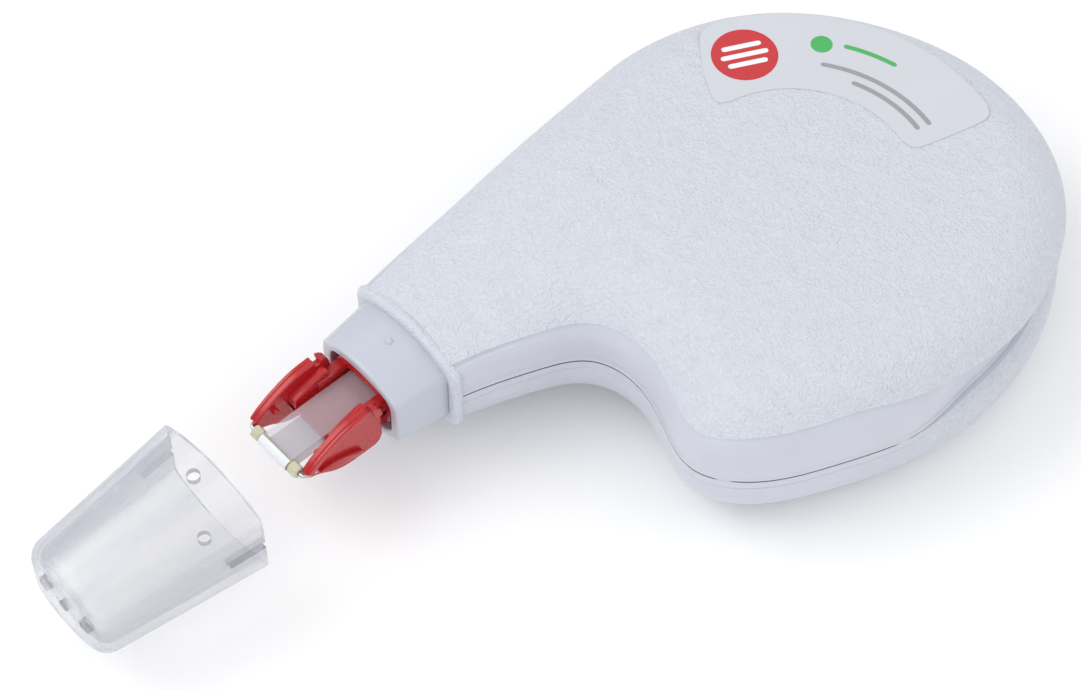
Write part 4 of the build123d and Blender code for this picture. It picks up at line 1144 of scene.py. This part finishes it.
def patch(form, centre, angle, half_a, half_b, corner, lift, slot):
    """Rounded patch on the label, turned by an angle."""
    turn = math.radians(angle)
    rows = []
    for i in range(13):
        b = -half_b + 2 * half_b * i / 12
        edge = half_b - abs(b)
        trim = corner - math.sqrt(max(corner ** 2 - (corner - min(edge, corner)) ** 2, 0))
        row = []
        for k in range(17):
            a = (-half_a + trim) + 2 * (half_a - trim) * k / 16
            x = centre[0] + a * math.cos(turn) - b * math.sin(turn)
            y = centre[1] + a * math.sin(turn) + b * math.cos(turn)
            row.append(on_top(x, y, lift))
        rows.append(row)
    sheet_of(form, rows, INK, slot)


def disc(form, centre, radius, lift, slot):
    """Round patch on the label."""
    rows = []
    for share in (0.005, 0.2, 0.4, 0.6, 0.8, 1.0):
        rows.append([on_top(x, y, lift) for x, y in circle(centre, radius * share, 64)])
    form.loft(rows + [lowered(rows[-1], INK)], slot=slot, start_cap=True)


def polar(radius, angle):
    return (radius * math.cos(math.radians(angle)), radius * math.sin(math.radians(angle)))


# A red disc with three white bars, a green dot, and one green and two grey arcs.
INK_LIFT = 0.116
BADGE_R, BADGE_TURN = 20.4, 63
RED_SLOT, WHITE_SLOT, GREEN_SLOT, GREY_SLOT = 1, 2, 3, 4
disc(label, polar(BADGE_R, BADGE_TURN), 4.1, INK_LIFT, RED_SLOT)
for offset, half in ((-1.4, 2.5), (0.0, 3.0), (1.4, 2.5)):
    patch(label, polar(BADGE_R + offset, BADGE_TURN), BADGE_TURN - 90, half, 0.36, 0.35, 0.13, WHITE_SLOT)
disc(label, polar(21.8, 37), 1.35, INK_LIFT, GREEN_SLOT)
ARC_HALF = 0.32
arcs = ((12, 30, 22.2, GREEN_SLOT), (-14, 36, 18.6, GREY_SLOT), (-14, 22, 17.0, GREY_SLOT))
for a0, a1, radius, slot in arcs:
    rows = sector(radius - ARC_HALF, radius + ARC_HALF, (a0, a0), (a1, a1), 0.31, INK_LIFT, (6, 60))
    sheet_of(label, rows, INK, slot)
build(
    "label_sticker", "body", label,
    [LABEL_FACE, LABEL_RED, LABEL_WHITE, LABEL_GREEN, LABEL_GREY], ["label"], sharp=40, weld=1e-7,
)

# ---------------------------------------------------------------- finishes of the CAD's own nodes
FINISHES = {
    "supply_gear": GEAR, "idler_gear": GEAR, "supply_reel": REEL, "takeup_reel": TAKEUP_BLUE,
    "clutch_spring": STEEL, "clutch_disc": FELT, "tape_pack": SUPPLY_WOUND, "carrier_pack": CARRIER_WOUND,
    "tape_run": TAPE_WHITE, "carrier_run": CARRIER_RUN,
    "upper_guide_roller": GEAR, "lower_guide_roller": GEAR, "upper_guide_pin": STEEL, "lower_guide_pin": STEEL,
}
for node, material in FINISHES.items():
    thing = frame["nodes"][node]
    if not thing.material_slots:
        thing.data.materials.append(material)
    for holder in thing.material_slots:
        holder.material = material

# ---------------------------------------------------------------- floor, light and camera
floor_mesh = bpy.data.meshes.new("studio_floor")
floor_mesh.from_pydata([(-3, -3, 0), (3, -3, 0), (3, 3, 0), (-3, 3, 0)], [], [(0, 1, 2, 3)])
floor_look = Look("studio_floor")
tone = floor_look.noise(6.0).outputs["Fac"]
paint = floor_look.ramp(tone, [(0.3, (0.955, 0.955, 0.96)), (0.7, (0.97, 0.97, 0.975))])
floor_look.surface({"Base Color": paint, "Roughness": 0.85})
floor_mesh.materials.append(floor_look.material)
floor = in_scene("studio_floor", floor_mesh)

scene = bpy.context.scene
world = bpy.data.worlds.new("studio") if scene.world is None else scene.world
scene.world = world
world.use_nodes = True
sky_nodes = world.node_tree.nodes
sky_links = world.node_tree.links
sky = sky_nodes["Background"]
direction = sky_nodes.new("ShaderNodeTexCoord")
split = sky_nodes.new("ShaderNodeSeparateXYZ")
sky_links.new(direction.outputs["Generated"], split.inputs["Vector"])
shade = sky_nodes.new("ShaderNodeValToRGB")
shade.color_ramp.elements[0].position = 0.0
shade.color_ramp.elements[0].color = (0.60, 0.61, 0.64, 1)
shade.color_ramp.elements[1].position = 0.75
shade.color_ramp.elements[1].color = (1.0, 1.0, 1.0, 1)
sky_links.new(split.outputs["Z"], shade.inputs["Fac"])
sky_links.new(shade.outputs["Color"], sky.inputs["Color"])
sky.inputs["Strength"].default_value = 0.90
scene.view_settings.view_transform = "Standard"


# The camera and the lights aim at one place. These few lengths are metres.
AIM = Vector((-0.03577, 0.00518, 0.01852))
CAMERA_AWAY = 0.345
CAMERA_TURN = math.radians(42)
CAMERA_TILT = math.radians(55)


def soft_light(name, place, size, power):
    data = bpy.data.lights.new(name, "AREA")
    data.shape = "RECTANGLE"
    data.size, data.size_y = size
    data.energy = power
    lamp = in_scene(name, data)
    lamp.location = place
    lamp.rotation_euler = (AIM - Vector(place)).to_track_quat("-Z", "Y").to_euler()


soft_light("key", (-0.45, 0.45, 0.75), (0.6, 0.6), 2.6)
soft_light("side", (-0.75, -0.25, 0.45), (0.35, 0.6), 0.9)
soft_light("fill", (0.5, -0.6, 0.6), (0.7, 0.5), 1.2)

camera_data = bpy.data.cameras.new("photo_view")
camera_data.lens = 99.9
camera_data.sensor_width = 36.0
camera_data.clip_start = 0.01
camera_data.clip_end = 20.0
camera = in_scene("photo_view", camera_data)
heading = Vector((math.sin(CAMERA_TURN), math.cos(CAMERA_TURN), 0.0))
right = Vector((heading.y, -heading.x, 0.0))
forward = heading * math.cos(CAMERA_TILT) - Vector((0, 0, math.sin(CAMERA_TILT)))
turned = Matrix((right, right.cross(forward), -forward)).transposed().to_4x4()
camera.matrix_world = Matrix.Translation(AIM - forward * CAMERA_AWAY) @ turned
scene.camera = camera
